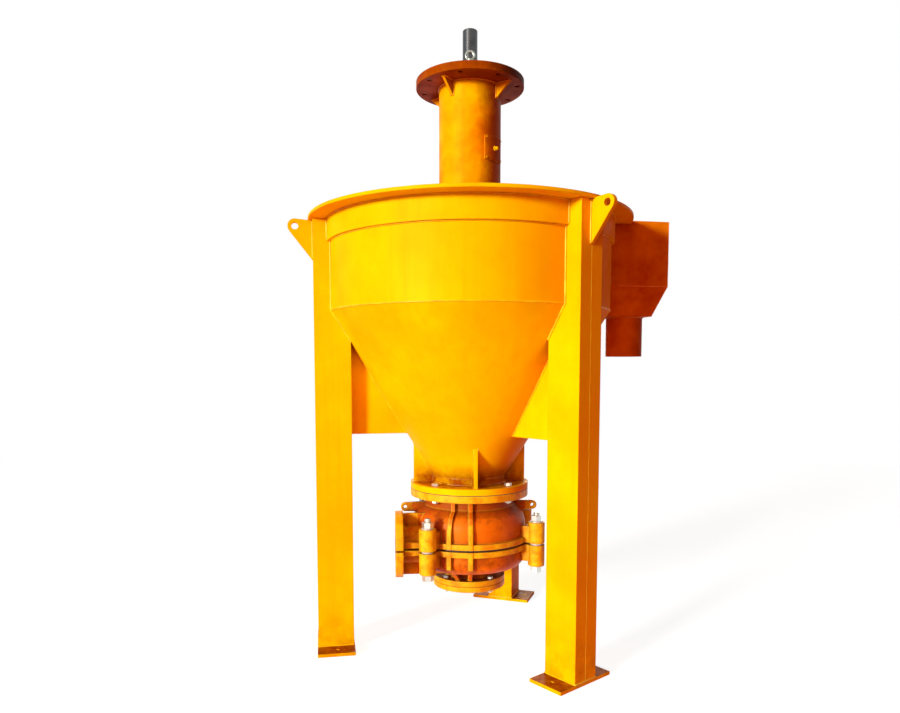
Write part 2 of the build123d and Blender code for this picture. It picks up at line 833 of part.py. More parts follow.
# Grease nipple on the housing, behind the cover
with BuildPart() as grease_nipple:
    with BuildSketch(wall_plane(hatch_angle, housing_wall_radius - nipple_foot / 2, hatch_middle)):
        RegularPolygon(nipple_radius, 6)
    extrude(amount=nipple_foot * 1.5)
    with BuildSketch(wall_plane(hatch_angle, housing_wall_radius + nipple_foot, hatch_middle)):
        Circle(nipple_tip_radius)
    extrude(amount=nipple_tip, taper=nipple_taper)
    Cylinder(housing_wall_radius, 4 * hatch_middle, mode=Mode.SUBTRACT)
grease_nipple.part.label = "grease_nipple"
export_step(grease_nipple.part, "parts/grease_nipple.step")


def roller_bearing(prefix, bottom, width, bore, outer, wall, roller):
    """Write the four pieces of one roller bearing: two races, rollers and cage."""
    inner_track = bore + wall
    pitch = inner_track + roller_gap + roller
    outer_track = pitch + roller + roller_gap
    roller_bottom = bottom + roller_end_gap
    roller_length = width - 2 * roller_end_gap
    with BuildPart() as inner_race:
        with BuildSketch(Plane.XY.offset(bottom)):
            ring(inner_track, bore)
        extrude(amount=width)
    inner_race.part.label = f"{prefix}_inner_race"
    export_step(inner_race.part, f"parts/{prefix}_inner_race.step")
    with BuildPart() as outer_race:
        with BuildSketch(Plane.XY.offset(bottom)):
            ring(outer, outer_track)
        extrude(amount=width)
    outer_race.part.label = f"{prefix}_outer_race"
    export_step(outer_race.part, f"parts/{prefix}_outer_race.step")
    with BuildPart() as rollers:
        with BuildSketch(Plane.XY.offset(roller_bottom)):
            with PolarLocations(pitch, roller_count):
                Circle(roller)
        extrude(amount=roller_length)
    rollers.part.label = f"{prefix}_rollers"
    export_step(rollers.part, f"parts/{prefix}_rollers.step")
    with BuildPart() as cage:
        with BuildSketch(Plane.XY.offset(roller_bottom - cage_lap)):
            ring(pitch + roller / 2, pitch - roller / 2)
        extrude(amount=roller_length + 2 * cage_lap)
        with BuildSketch(Plane.XY.offset(roller_bottom - cage_gap)):
            with PolarLocations(pitch, roller_count):
                Circle(roller + cage_gap)
        extrude(amount=roller_length + 2 * cage_gap, mode=Mode.SUBTRACT)
    cage.part.label = f"{prefix}_cage"
    export_step(cage.part, f"parts/{prefix}_cage.step")


roller_bearing(
    "upper", upper_race_bottom, upper_race_width,
    upper_seat_radius, upper_race_radius, upper_race_wall, upper_roller_radius,
)
roller_bearing(
    "lower", lower_race_bottom, lower_race_width,
    lower_seat_radius, lower_race_radius, lower_race_wall, lower_roller_radius,
)

# Stepped shaft with its keyway
end_bottom = shaft_top - shaft_end_length
lower_seat_bottom = lower_cover_bottom - 2 * slinger_height
with BuildPart() as pump_shaft:
    with BuildSketch(Plane.XZ):
        with BuildLine():
            Polyline(
                (0, hub_bore_floor),
                (impeller_seat_radius, hub_bore_floor),
                (impeller_seat_radius, hub_top),
                (shaft_radius, hub_top),
                (shaft_radius, lower_seat_bottom),
                (lower_seat_radius, lower_seat_bottom),
                (lower_seat_radius, lower_race_top),
                (middle_radius, lower_race_top),
                (middle_radius, upper_race_bottom),
                (upper_seat_radius, upper_race_bottom),
                (upper_seat_radius, end_bottom),
                (shaft_end_radius, end_bottom),
                (shaft_end_radius, shaft_top),
                (0, shaft_top),
                close=True,
            )
        make_face()
    revolve(axis=Axis.Z)
    chamfer(pump_shaft.faces().sort_by(Axis.Z)[-1].edges(), shaft_end_chamfer)
    with BuildSketch(wall_plane(key_angle, shaft_end_radius - key_depth, shaft_top - shaft_end_length / 2)):
        SlotOverall(key_length, key_width, rotation=90)
    extrude(amount=key_depth * 2, mode=Mode.SUBTRACT)
pump_shaft.part.label = "pump_shaft"
export_step(pump_shaft.part, "parts/pump_shaft.step")

with BuildPart() as bearing_locknut:
    with BuildSketch(Plane.XY.offset(upper_race_top)):
        ring(locknut_radius, upper_seat_radius)
        with PolarLocations(locknut_radius, locknut_slots):
            Rectangle(2 * locknut_slot_depth, locknut_slot_width, mode=Mode.SUBTRACT)
    extrude(amount=locknut_height)
bearing_locknut.part.label = "bearing_locknut"
export_step(bearing_locknut.part, "parts/bearing_locknut.step")

# Slinger ring under the lower cover
slinger_bottom = lower_cover_bottom - slinger_height * 1.5
with BuildPart() as slinger:
    with BuildSketch(Plane.XZ):
        with BuildLine():
            Polyline(
                (lower_seat_radius, slinger_bottom),
                (slinger_radius, slinger_bottom),
                (slinger_radius, slinger_bottom + slinger_height / 2),
                (lower_seat_radius + slinger_height / 2, slinger_bottom + slinger_height),
                (lower_seat_radius, slinger_bottom + slinger_height),
                close=True,
            )
        make_face()
    revolve(axis=Axis.Z)
slinger.part.label = "slinger"
export_step(slinger.part, "parts/slinger.step")

# Impeller: closed floor, backswept vanes open towards the tank
with BuildPart() as impeller:
    with BuildSketch(Plane.XZ):
        with BuildLine():
            Polyline((0, hub_bore_floor), (0, impeller_bottom), (impeller_radius, impeller_bottom),
                     (impeller_radius, shroud_top), (hub_radius + shroud_thickness, shroud_top))
            hub_curve = TangentArc(
                (hub_radius + shroud_thickness, shroud_top),
                (hub_radius, shroud_top + shroud_thickness * 2),
                tangent=(-1, 0),
            )
            Polyline(hub_curve @ 1, (hub_radius - shroud_thickness / 2, hub_top),
                     (impeller_seat_radius, hub_top), (impeller_seat_radius, hub_bore_floor),
                     (0, hub_bore_floor))
        make_face()
    revolve(axis=Axis.Z)
    for step in range(vane_count):
        start = 360 / vane_count * step
        with BuildSketch(Plane.XY.offset(shroud_top - shroud_thickness / 4)):
            with BuildLine():
                ThreePointArc(
                    polar(vane_inlet, start),
                    polar((vane_inlet + impeller_radius) / 2, start - vane_sweep * 0.4),
                    polar(impeller_radius - vane_thickness / 2, start - vane_sweep),
                )
            trace(line_width=vane_thickness)
        extrude(amount=vane_height)
impeller.part.label = "impeller"
export_step(impeller.part, "parts/impeller.step")

# Gasket between the two flanges
with BuildPart() as flange_gasket:
    with BuildSketch(pump_plane(pump_face)):
        ring(flange_radius, neck_radius)
        with PolarLocations(flange_bolt_circle, flange_bolt_count, flange_first_bolt):
            Circle(flange_bolt_radius + bolt_hole_gap, mode=Mode.SUBTRACT)
    extrude(amount=gasket_thickness)
flange_gasket.part.label = "flange_gasket"
export_step(flange_gasket.part, "parts/flange_gasket.step")

# Bolts and nuts of the tank flange
flange_nut_height = flange_bolt_radius * nut_share
flange_bolt_tip = pump_flange_under - flange_nut_height - flange_bolt_radius / 2
with BuildPart() as tank_flange_bolts:
    with BuildSketch(pump_plane(flange_top)):
        with PolarLocations(flange_bolt_circle, flange_bolt_count, flange_first_bolt):
            RegularPolygon(hexagon_radius(flange_bolt_radius), 6)
    extrude(amount=flange_bolt_radius * bolt_head_share)
    with BuildSketch(pump_plane(flange_bolt_tip)):
        with PolarLocations(flange_bolt_circle, flange_bolt_count, flange_first_bolt):
            Circle(flange_bolt_radius)
    extrude(amount=flange_top - flange_bolt_tip)
tank_flange_bolts.part.label = "tank_flange_bolts"
export_step(tank_flange_bolts.part, "parts/tank_flange_bolts.step")

with BuildPart() as tank_flange_nuts:
    with BuildSketch(pump_plane(pump_flange_under - flange_nut_height)):
        with PolarLocations(flange_bolt_circle, flange_bolt_count, flange_first_bolt):
            RegularPolygon(hexagon_radius(flange_bolt_radius), 6)
            Circle(flange_bolt_radius, mode=Mode.SUBTRACT)
    extrude(amount=flange_nut_height)
tank_flange_nuts.part.label = "tank_flange_nuts"
export_step(tank_flange_nuts.part, "parts/tank_flange_nuts.step")

# Plane across the discharge axis: x to the back of the pump, y up, z outwards
pump_side = polar(1, pump_turn + 90)
discharge_origin = (-discharge_offset * pump_side[0], -discharge_offset * pump_side[1], split_height)
discharge_plane = Plane(
    origin=discharge_origin,
    x_dir=(-pump_side[0], -pump_side[1], 0),
    z_dir=(*polar(-1, pump_turn), 0),
)

# Outside of the discharge: neck, round flange, joint rim and the upright ribs above and below
with BuildPart() as discharge_outside:
    with BuildSketch(discharge_plane):
        Circle(discharge_neck_radius)
        Rectangle(2 * discharge_joint_width, 2 * joint_rim_height + split_gap)
        Rectangle(discharge_rib_thickness, 2 * (discharge_flange_radius - discharge_rib_inset))
    extrude(amount=discharge_reach - discharge_flange_thickness)
    with BuildSketch(discharge_plane.offset(discharge_reach - discharge_flange_thickness)):
        Circle(discharge_flange_radius)
    extrude(amount=discharge_flange_thickness)

# Space of the discharge bore, its flange holes and the stud holes
sleeve_radius = discharge_bore + sleeve_wall
with BuildPart() as casing_holes:
    with BuildSketch(discharge_plane):
        Circle(sleeve_radius)
    extrude(amount=discharge_reach)
    with BuildSketch(discharge_plane.offset(discharge_reach - discharge_flange_thickness)):
        with PolarLocations(discharge_bolt_circle, discharge_hole_count, discharge_first_hole):
            Circle(discharge_hole_radius)
    extrude(amount=discharge_flange_thickness)
    for angle in boss_angles:
        with BuildSketch(level_plane(pump_turn + angle, lower_joint - boss_height)):
            with Locations((boss_circle, 0)):
                Circle(stud_radius + bolt_hole_gap)
        extrude(amount=2 * boss_height + split_gap)

# Upper casing half: flange, neck, domed body, ribs, bosses and half the discharge
with BuildPart() as upper_casing:
    with BuildSketch(Plane.XZ):
        with BuildLine():
            Polyline((0, pump_face), (0, upper_joint), (joint_rim_radius, upper_joint),
                     (joint_rim_radius, upper_joint + joint_rim_height),
                     (body_radius, upper_joint + joint_rim_height),
                     (body_radius, upper_joint + body_side_up))
            dome = TangentArc((body_radius, upper_joint + body_side_up),
                              (shoulder_radius, shoulder_height), tangent=(0, 1))
            Polyline(dome @ 1, (casing_neck_radius, neck_foot), (casing_neck_radius, pump_flange_under),
                     (flange_radius, pump_flange_under), (flange_radius, pump_face), (0, pump_face))
        make_face()
    revolve(axis=Axis.Z)
    add(discharge_outside.part)
    for angle in boss_angles:
        with BuildSketch(level_plane(pump_turn + angle, upper_joint)):
            with Locations((boss_circle, 0)):
                Circle(boss_radius)
        extrude(amount=boss_height)
    for angle in boss_angles:
        with BuildSketch(level_plane(pump_turn + angle, upper_joint)):
            with Locations(((boss_circle + cavity_radius) / 2, 0)):
                Rectangle(boss_circle - cavity_radius, boss_web)
        extrude(amount=boss_web_height)
    for angle in rib_angles:
        with BuildSketch(radial_plane(pump_turn + angle)):
            with BuildLine():
                Polyline(
                    (neck_radius + rib_stand, upper_joint),
                    (body_radius + rib_stand, upper_joint),
                    (body_radius + rib_stand, upper_joint + body_side_up),
                    (shoulder_radius + rib_stand, shoulder_height),
                    (casing_neck_radius + rib_stand, neck_foot),
                    (casing_neck_radius + rib_stand, pump_flange_under),
                    (neck_radius + rib_stand, pump_flange_under),
                    close=True,
                )
            make_face()
        extrude(amount=rib_thickness / 2, both=True)
    split(bisect_by=Plane.XY.offset(upper_joint), keep=Keep.TOP)
    with BuildSketch(Plane.XY.offset(upper_joint)):
        Circle(cavity_radius)
    extrude(amount=cavity_rise, mode=Mode.SUBTRACT)
    with BuildSketch(Plane.XY.offset(upper_joint)):
        Circle(neck_radius)
    extrude(amount=upper_half_height, mode=Mode.SUBTRACT)
    with BuildSketch(pump_plane(pump_flange_under)):
        with PolarLocations(flange_bolt_circle, flange_bolt_count, flange_first_bolt):
            Circle(flange_bolt_radius + bolt_hole_gap)
    extrude(amount=pump_flange_thickness, mode=Mode.SUBTRACT)
    add(casing_holes.part, mode=Mode.SUBTRACT)
upper_casing.part.label = "upper_casing"
export_step(upper_casing.part, "parts/upper_casing.step")

# Lifting ears, welded to the neck and shoulder of the upper half
with BuildPart() as casing_ears:
    for angle in (0, 180):
        with BuildSketch(radial_plane(pump_turn + angle)):
            with Locations((ear_reach, split_height + ear_rise)):
                Circle(ear_tip_radius)
            with Locations(((neck_radius + casing_neck_radius) / 2, split_height + ear_rise)):
                Rectangle(casing_neck_radius - neck_radius, ear_height)
            make_hull()
            with Locations((ear_reach, split_height + ear_rise)):
                Circle(ear_hole_radius, mode=Mode.SUBTRACT)
        extrude(amount=ear_thickness / 2, both=True)
    add(upper_casing.part, mode=Mode.SUBTRACT)
casing_ears.part.label = "casing_ears"
export_step(casing_ears.part, "parts/casing_ears.step")

# Lower casing half: bowl, ribs, bosses, bottom flange and half the discharge
with BuildPart() as lower_casing:
    with BuildSketch(Plane.XZ):
        with BuildLine():
            Polyline((0, lower_face), (0, lower_joint), (joint_rim_radius, lower_joint),
                     (joint_rim_radius, lower_joint - joint_rim_height),
                     (body_radius, lower_joint - joint_rim_height),
                     (body_radius, lower_joint - body_side_down))
            bowl = TangentArc((body_radius, lower_joint - body_side_down),
                              (bowl_foot_radius, bowl_bottom), tangent=(0, -1))
            Polyline(bowl @ 1, (lower_neck_radius, bowl_bottom), (lower_neck_radius, lower_flange_top),
                     (lower_flange_radius, lower_flange_top),
                     (lower_flange_radius, lower_face + plate_chamfer),
                     (lower_flange_radius - plate_chamfer, lower_face), (0, lower_face))
        make_face()
    revolve(axis=Axis.Z)
    add(discharge_outside.part)
    for angle in boss_angles:
        with BuildSketch(level_plane(pump_turn + angle, lower_joint - boss_height)):
            with Locations((boss_circle, 0)):
                Circle(boss_radius)
        extrude(amount=boss_height)
    for angle in boss_angles:
        with BuildSketch(level_plane(pump_turn + angle, lower_joint - boss_web_height)):
            with Locations(((boss_circle + cavity_radius) / 2, 0)):
                Rectangle(boss_circle - cavity_radius, boss_web)
        extrude(amount=boss_web_height)
    for angle in rib_angles:
        with BuildSketch(radial_plane(pump_turn + angle)):
            with BuildLine():
                Polyline(
                    (drain_bore + rib_stand, lower_joint),
                    (body_radius + rib_stand, lower_joint),
                    (body_radius + rib_stand, lower_joint - body_side_down - rib_stand),
                    (bowl_foot_radius + rib_stand, bowl_bottom + rib_stand),
                    (lower_flange_radius - rib_stand / 2, lower_flange_top),
                    (drain_bore + rib_stand, lower_flange_top),
                    close=True,
                )
            make_face()
        extrude(amount=rib_thickness / 2, both=True)
    split(bisect_by=Plane.XY.offset(lower_joint), keep=Keep.BOTTOM)
    with BuildSketch(Plane.XY.offset(lower_joint)):
        Circle(cavity_radius)
    extrude(amount=-cavity_depth, mode=Mode.SUBTRACT)
    with BuildSketch(Plane.XY.offset(lower_face)):
        Circle(drain_bore)
    extrude(amount=cavity_bottom - lower_face, mode=Mode.SUBTRACT)
    with BuildSketch(pump_plane(lower_face)):
        with PolarLocations(bottom_bolt_circle, bottom_bolt_count, bottom_first_bolt):
            Circle(bottom_bolt_radius + bolt_hole_gap)
    extrude(amount=lower_flange_thickness, mode=Mode.SUBTRACT)
    add(casing_holes.part, mode=Mode.SUBTRACT)
lower_casing.part.label = "lower_casing"
export_step(lower_casing.part, "parts/lower_casing.step")

# Blank cover under the lower casing
with BuildPart() as bottom_cover:
    with BuildSketch(pump_plane(cover_face)):
        Circle(lower_flange_radius)
        with PolarLocations(bottom_bolt_circle, bottom_bolt_count, bottom_first_bolt):
            Circle(bottom_bolt_radius + bolt_hole_gap, mode=Mode.SUBTRACT)
    extrude(amount=bottom_cover_thickness)
    chamfer(bottom_cover.edges().filter_by(GeomType.CIRCLE).group_by(SortBy.RADIUS)[-1], plate_chamfer)
    with BuildSketch(pump_plane(lower_face)):
        Circle(drain_bore)
    extrude(amount=cavity_bottom - lower_face)
bottom_cover.part.label = "bottom_cover"
export_step(bottom_cover.part, "parts/bottom_cover.step")

cover_nut_height = bottom_bolt_radius * nut_share
cover_bolt_tip = cover_face - cover_nut_height - bottom_bolt_radius / 2
with BuildPart() as bottom_bolts:
    with BuildSketch(pump_plane(lower_flange_top)):
        with PolarLocations(bottom_bolt_circle, bottom_bolt_count, bottom_first_bolt):
            RegularPolygon(hexagon_radius(bottom_bolt_radius), 6)
    extrude(amount=bottom_bolt_radius * bolt_head_share)
    with BuildSketch(pump_plane(cover_bolt_tip)):
        with PolarLocations(bottom_bolt_circle, bottom_bolt_count, bottom_first_bolt):
            Circle(bottom_bolt_radius)
    extrude(amount=lower_flange_top - cover_bolt_tip)
bottom_bolts.part.label = "bottom_bolts"
export_step(bottom_bolts.part, "parts/bottom_bolts.step")

with BuildPart() as bottom_nuts:
    with BuildSketch(pump_plane(cover_face - cover_nut_height)):
        with PolarLocations(bottom_bolt_circle, bottom_bolt_count, bottom_first_bolt):
            RegularPolygon(hexagon_radius(bottom_bolt_radius), 6)
            Circle(bottom_bolt_radius, mode=Mode.SUBTRACT)
    extrude(amount=cover_nut_height)
bottom_nuts.part.label = "bottom_nuts"
export_step(bottom_nuts.part, "parts/bottom_nuts.step")

# Studs, nuts and washers of the casing bosses
boss_top = upper_joint + boss_height
boss_bottom = lower_joint - boss_height
stud_top = boss_top + washer_thickness + nut_height + stud_past_nut
stud_bottom = boss_bottom - washer_thickness - nut_height


def boss_points():
    """Return the centres of the four bosses on the pump's level plane."""
    return [polar(boss_circle, angle) for angle in boss_angles]


with BuildPart() as casing_studs:
    with BuildSketch(pump_plane(stud_bottom)):
        with Locations(*boss_points()):
            Circle(stud_radius)
    extrude(amount=stud_top - stud_bottom)
    chamfer(casing_studs.faces().group_by(Axis.Z)[-1].edges(), stud_radius / 4)
casing_studs.part.label = "casing_studs"
export_step(casing_studs.part, "parts/casing_studs.step")

with BuildPart() as casing_nuts:
    for bottom in (boss_top + washer_thickness, stud_bottom):
        with BuildSketch(pump_plane(bottom)):
            with Locations(*boss_points()):
                RegularPolygon(hexagon_radius(stud_radius), 6)
                Circle(stud_radius, mode=Mode.SUBTRACT)
        extrude(amount=nut_height)
casing_nuts.part.label = "casing_nuts"
export_step(casing_nuts.part, "parts/casing_nuts.step")

with BuildPart() as casing_washers:
    for bottom in (boss_top, boss_bottom - washer_thickness):
        with BuildSketch(pump_plane(bottom)):
            with Locations(*boss_points()):
                ring(spacer_radius, stud_radius)
        extrude(amount=washer_thickness)
    with BuildSketch(pump_plane(lower_joint)):
        with Locations(*boss_points()):
            ring(spacer_radius, stud_radius)
    extrude(amount=split_gap)
casing_washers.part.label = "casing_washers"
export_step(casing_washers.part, "parts/casing_washers.step")

# Rubber liners with the volute and the inner end of the discharge
sleeve_start = discharge_reach - sleeve_length
volute_radius = cavity_radius - liner_wall - 2 * volute_shift

# Space inside the liners: the volute, set off towards the discharge, and the branch bore
volute_floor = cavity_bottom + liner_wall
volute_roof = cavity_top - liner_wall
with BuildPart() as volute_space:
    with BuildSketch(pump_plane(volute_floor)):
        with Locations((-volute_shift, -volute_shift)):
            Circle(volute_radius)
    extrude(amount=volute_roof - volute_floor)
    with BuildSketch(discharge_plane):
        Circle(discharge_throat)
    with BuildSketch(discharge_plane.offset(sleeve_start)):
        Circle(discharge_bore)
    loft()

# Outside of both liners: pot, joint lip and discharge branch
with BuildPart() as liner_outside:
    with BuildSketch(Plane.XY.offset(cavity_bottom)):
        Circle(cavity_radius)
    extrude(amount=cavity_top - cavity_bottom)
    with BuildSketch(Plane.XY.offset(lower_joint)):
        Circle(body_radius)
    extrude(amount=split_gap)
    with BuildSketch(discharge_plane):
        Circle(sleeve_radius)
    extrude(amount=sleeve_start)
    with BuildSketch(discharge_plane.offset(sleeve_start)):
        Circle(sleeve_radius)
    extrude(amount=sleeve_length, mode=Mode.SUBTRACT)

with BuildPart() as upper_liner:
    add(liner_outside.part)
    split(bisect_by=Plane.XY.offset(split_height), keep=Keep.TOP)
    add(volute_space.part, mode=Mode.SUBTRACT)
    with BuildSketch(Plane.XY.offset(split_height)):
        Circle(throat_opening)
    extrude(amount=cavity_top - split_height, mode=Mode.SUBTRACT)
upper_liner.part.label = "upper_liner"
export_step(upper_liner.part, "parts/upper_liner.step")

with BuildPart() as lower_liner:
    add(liner_outside.part)
    split(bisect_by=Plane.XY.offset(split_height), keep=Keep.BOTTOM)
    add(volute_space.part, mode=Mode.SUBTRACT)
lower_liner.part.label = "lower_liner"
export_step(lower_liner.part, "parts/lower_liner.step")

# Full ring that joins the liners to the outlet pipe
with BuildPart() as discharge_sleeve:
    with BuildSketch(discharge_plane.offset(sleeve_start)):
        ring(sleeve_radius, discharge_bore)
    extrude(amount=sleeve_length)
discharge_sleeve.part.label = "discharge_sleeve"
export_step(discharge_sleeve.part, "parts/discharge_sleeve.step")

# Throat bush that funnels the froth to the eye of the impeller
with BuildPart() as throat_bush:
    with BuildSketch(Plane.XZ):
        with BuildLine():
            Polyline(
                (neck_radius - tank_wall, pump_face),
                (neck_radius, pump_face),
                (neck_radius, cavity_top),
                (throat_opening, cavity_top),
                (throat_opening, cavity_top - throat_nose),
                (throat_bore, cavity_top - throat_nose),
                close=True,
            )
        make_face()
    revolve(axis=Axis.Z)
throat_bush.part.label = "throat_bush"
export_step(throat_bush.part, "parts/throat_bush.step")
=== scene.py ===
"""Looks of a vertical froth pump unit: paint, weld beads, fasteners, stage and camera."""
import json
import math

import bpy
import numpy as np
from bpy.props import FloatProperty, FloatVectorProperty, PointerProperty
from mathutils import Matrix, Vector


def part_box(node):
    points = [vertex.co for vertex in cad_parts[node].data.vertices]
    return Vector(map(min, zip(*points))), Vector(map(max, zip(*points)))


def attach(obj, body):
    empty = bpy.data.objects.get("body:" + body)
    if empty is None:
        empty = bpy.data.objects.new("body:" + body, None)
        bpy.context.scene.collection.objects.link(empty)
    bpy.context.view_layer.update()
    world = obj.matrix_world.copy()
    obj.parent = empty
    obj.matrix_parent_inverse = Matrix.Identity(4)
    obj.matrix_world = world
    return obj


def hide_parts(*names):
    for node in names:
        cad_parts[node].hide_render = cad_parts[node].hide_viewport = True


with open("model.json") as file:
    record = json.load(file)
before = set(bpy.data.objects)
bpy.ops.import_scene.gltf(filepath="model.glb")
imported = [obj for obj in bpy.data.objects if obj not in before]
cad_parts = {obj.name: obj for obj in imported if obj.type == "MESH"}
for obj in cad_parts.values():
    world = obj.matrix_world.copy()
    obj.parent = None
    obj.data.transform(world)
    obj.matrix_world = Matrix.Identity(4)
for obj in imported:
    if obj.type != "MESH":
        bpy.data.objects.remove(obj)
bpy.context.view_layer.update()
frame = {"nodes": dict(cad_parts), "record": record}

bl_info = {
    "name": "Froth pump unit",
    "version": (1, 0, 0),
    "blender": (4, 5, 0),
    "location": "View3D > Sidebar > Froth pump",
    "description": "Dresses the froth pump unit with paint, welds and fasteners",
    "category": "Object",
}


X, Y, Z = range(3)


def low(node, axis):
    """Lowest place of a CAD node along an axis, in metres."""
    return float(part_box(node)[0][axis])


def high(node, axis):
    """Highest place of a CAD node along an axis, in metres."""
    return float(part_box(node)[1][axis])


# Sizes that a box can't give, as the CAD has them, in metres and degrees
NECK_RADIUS = 0.140
NECK_HEIGHT = 0.0245
FIN_REACH = 0.215
FIN_HALF = 0.006
LEG_ANGLES = (180.0, 300.0, 60.0)
GUSSET_HALF = 0.006
LUG_HALF = 0.008
BOX_HEIGHT = 0.239
CHUTE_HALF = 0.085
CHUTE_REACH = 0.700
PIPE_CENTRE = 0.625
PUMP_TURN = -5.0
BOSS_ANGLES = (27.0, -27.0, 130.0, -130.0)
BOSS_CIRCLE = 0.270
STUD_RADIUS = 0.012
STUD_NUT_HEIGHT = 0.022
TANK_BOLT_RADIUS = 0.008
TANK_BOLT_CIRCLE = 0.190
TANK_BOLT_TURN = 42.5
COVER_BOLT_RADIUS = 0.006
COVER_BOLT_CIRCLE = 0.118
COVER_BOLT_TURN = 36.0
BASE_BOLT_RADIUS = 0.010
HOUSING_BOLT_RADIUS = 0.005
HOUSING_BOLT_CIRCLE = 0.135
COLUMN_GUSSET_HALF = 0.006
HEAD_BEAD = (0.060, 0.053)
BASE_BEAD = (0.044, 0.069)

# Sizes read from the frame, in metres
SHELL_RADIUS = high("tank_shell", X)
BAND_RADIUS = high("rim_band", X)
CONE_TOP = high("tank_cone", Z)
BAND_BOTTOM = low("rim_band", Z)
RIM_UNDER = low("rim_plate", Z)
FLANGE_TOP = high("tank_flange", Z)
CONE_FOOT = FLANGE_TOP + NECK_HEIGHT
CONE_SLOPE = (SHELL_RADIUS - NECK_RADIUS) / (CONE_TOP - CONE_FOOT)
LEG_OUTER = -low("left_leg", X)
LEG_INNER = -high("left_leg", X)
LEG_HALF = high("left_leg", Y)
FOOT_TOP = high("foot_plates", Z)
GUSSET_BOTTOM = low("leg_gussets", Z)
LUG_BOTTOM = low("lifting_lugs", Z)
BOX_HALF = high("overflow_box", Y)
BOX_OUTER = high("overflow_box", X)
BOX_TOP = high("overflow_box", Z)
BOX_BOTTOM = BOX_TOP - BOX_HEIGHT
CHUTE_BOTTOM = low("overflow_box", Z)
PIPE_RADIUS = high("overflow_pipe", Y)
COLUMN_RADIUS = high("column_tube", Y)
COLUMN_TOP = high("column_tube", Z)
COLUMN_BOTTOM = low("column_tube", Z)

# Places of the weld beads: off a plate, off a ring, into a corner or seam, and short of an end
LIFT = 0.001
RING_LIFT = 0.0012
CORNER_SINK = 0.0012
SEAM_SINK = 0.0015
END_GAP = 0.004

# Shares of the thread radius: half the width across flats, head height and thread pitch; then the
# chamfer's inner radius as a share of the half width, and the height in which a thread runs out
HALF_FLATS = 1.5
HEAD_HEIGHT = 1.3
PITCH = 0.25
CHAMFER = 0.93
RUN_OUT = 0.0001

# Places on the casing, in metres, between which a painted mark changes from none to full: painted highlight
# on the ribs, the bosses and the cover rim, painted shade on the ledges and on the shoulder under the tank
# flange
RIB_HIGHLIGHT_RADII = (0.219, 0.2235)
BOSS_HIGHLIGHT_RADII = (0.052, 0.034)
COVER_HIGHLIGHT_HEIGHTS = (0.27, 0.262)
LEDGE_SHADE_HEIGHTS = (0.3, 0.285)
SHOULDER_SHADE_RADII = (0.19, 0.16)
SHOULDER_SHADE_HEIGHTS = (0.44, 0.5)

# Places of the painted shade on the tank flange: its radii, its heights over the flange and under its top
FLANGE_SHADE_RADII = (0.222, 0.2)
FLANGE_SHADE_HEIGHTS = (0.09, 0.02)
FLANGE_SHADE_DEPTHS = (0.002, 0.0005)

# Tones that several finishes share: the painted shade on the tank flange and the painted highlight on edges
FLANGE_SHADE_TONE = (0.28, 0.035, 0.001)
EDGE_HIGHLIGHT_TONE = (1.0, 0.6, 0.03)

# Direction, height and width of each lamp in degrees, and its colour
LAMPS = {
    "key_lamp": (-143.0, 9.0, 11.0, (1.0, 0.99, 0.95)),
    "fill_lamp": (-118.0, 3.0, 24.0, (1.0, 0.4, 0.12)),
    "back_lamp": (76.0, 3.0, 24.0, (1.0, 0.86, 0.6)),
}
BRIGHT_SIDE = -150.0
# Direction of the side whose paint gets a painted shade, away from the lamps
SHADED_SIDE = -30.0

# Half the floor's width, and how far out it fades into the white sky, in metres
FLOOR_HALF = 40.0
FLOOR_FADE = (2.0, 7.0)

# Lens of the camera in millimetres, its shift, and its tilt and turn in radians
LENS = 28.62
LENS_SHIFT = 0.0739
CAMERA_PITCH = 0.0793
CAMERA_HEADING = 0.027


class PumpSettings(bpy.types.PropertyGroup):
    """Sizes and colours a user would change."""
    tank_colour: FloatVectorProperty(
        name="Tank paint", description="Colour of the paint on the welded tank", subtype="COLOR",
        size=3, min=0.0, max=1.0, default=(1.0, 0.75, 0.0))
    tank_shade: FloatVectorProperty(
        name="Tank paint shade", description="Deeper tone of the tank paint where it lies thick",
        subtype="COLOR", size=3, min=0.0, max=1.0, default=(1.0, 0.5, 0.0))
    # Painted shade: the overflow box and pipe get a deeper copy of the tank paint
    box_shaded_colour: FloatVectorProperty(
        name="Overflow paint", description="Colour of the paint on the overflow box and pipe",
        subtype="COLOR", size=3, min=0.0, max=1.0, default=(0.78, 0.24, 0.002))
    # Painted shade: the column gets a deeper copy of the tank paint
    column_shaded_colour: FloatVectorProperty(
        name="Column paint", description="Colour of the paint on the top column", subtype="COLOR",
        size=3, min=0.0, max=1.0, default=(1.0, 0.58, 0.0))
    # Painted shade: the top flange gets a dark copy of the paint
    head_shaded_colour: FloatVectorProperty(
        name="Head paint", description="Colour of the stained paint on the top flange",
        subtype="COLOR", size=3, min=0.0, max=1.0, default=(0.5, 0.11, 0.0))
    casing_colour: FloatVectorProperty(
        name="Casing paint", description="Colour of the paint on the pump castings", subtype="COLOR",
        size=3, min=0.0, max=1.0, default=(0.88, 0.23, 0.002))
    # Dirt low down and the painted shade in corners share this colour
    dirt_and_shade_colour: FloatVectorProperty(
        name="Dirt", description="Colour of the dirt and thin rust in corners", subtype="COLOR",
        size=3, min=0.0, max=1.0, default=(0.16, 0.022, 0.001))
    bead_radius: FloatProperty(
        name="Bead radius", description="Half width of the weld beads", subtype="DISTANCE",
        unit="LENGTH", default=0.0036, min=0.001, max=0.01)
    ripple_pitch: FloatProperty(
        name="Ripple pitch", description="Length of one weld ripple", subtype="DISTANCE",
        unit="LENGTH", default=0.009, min=0.003, max=0.03)


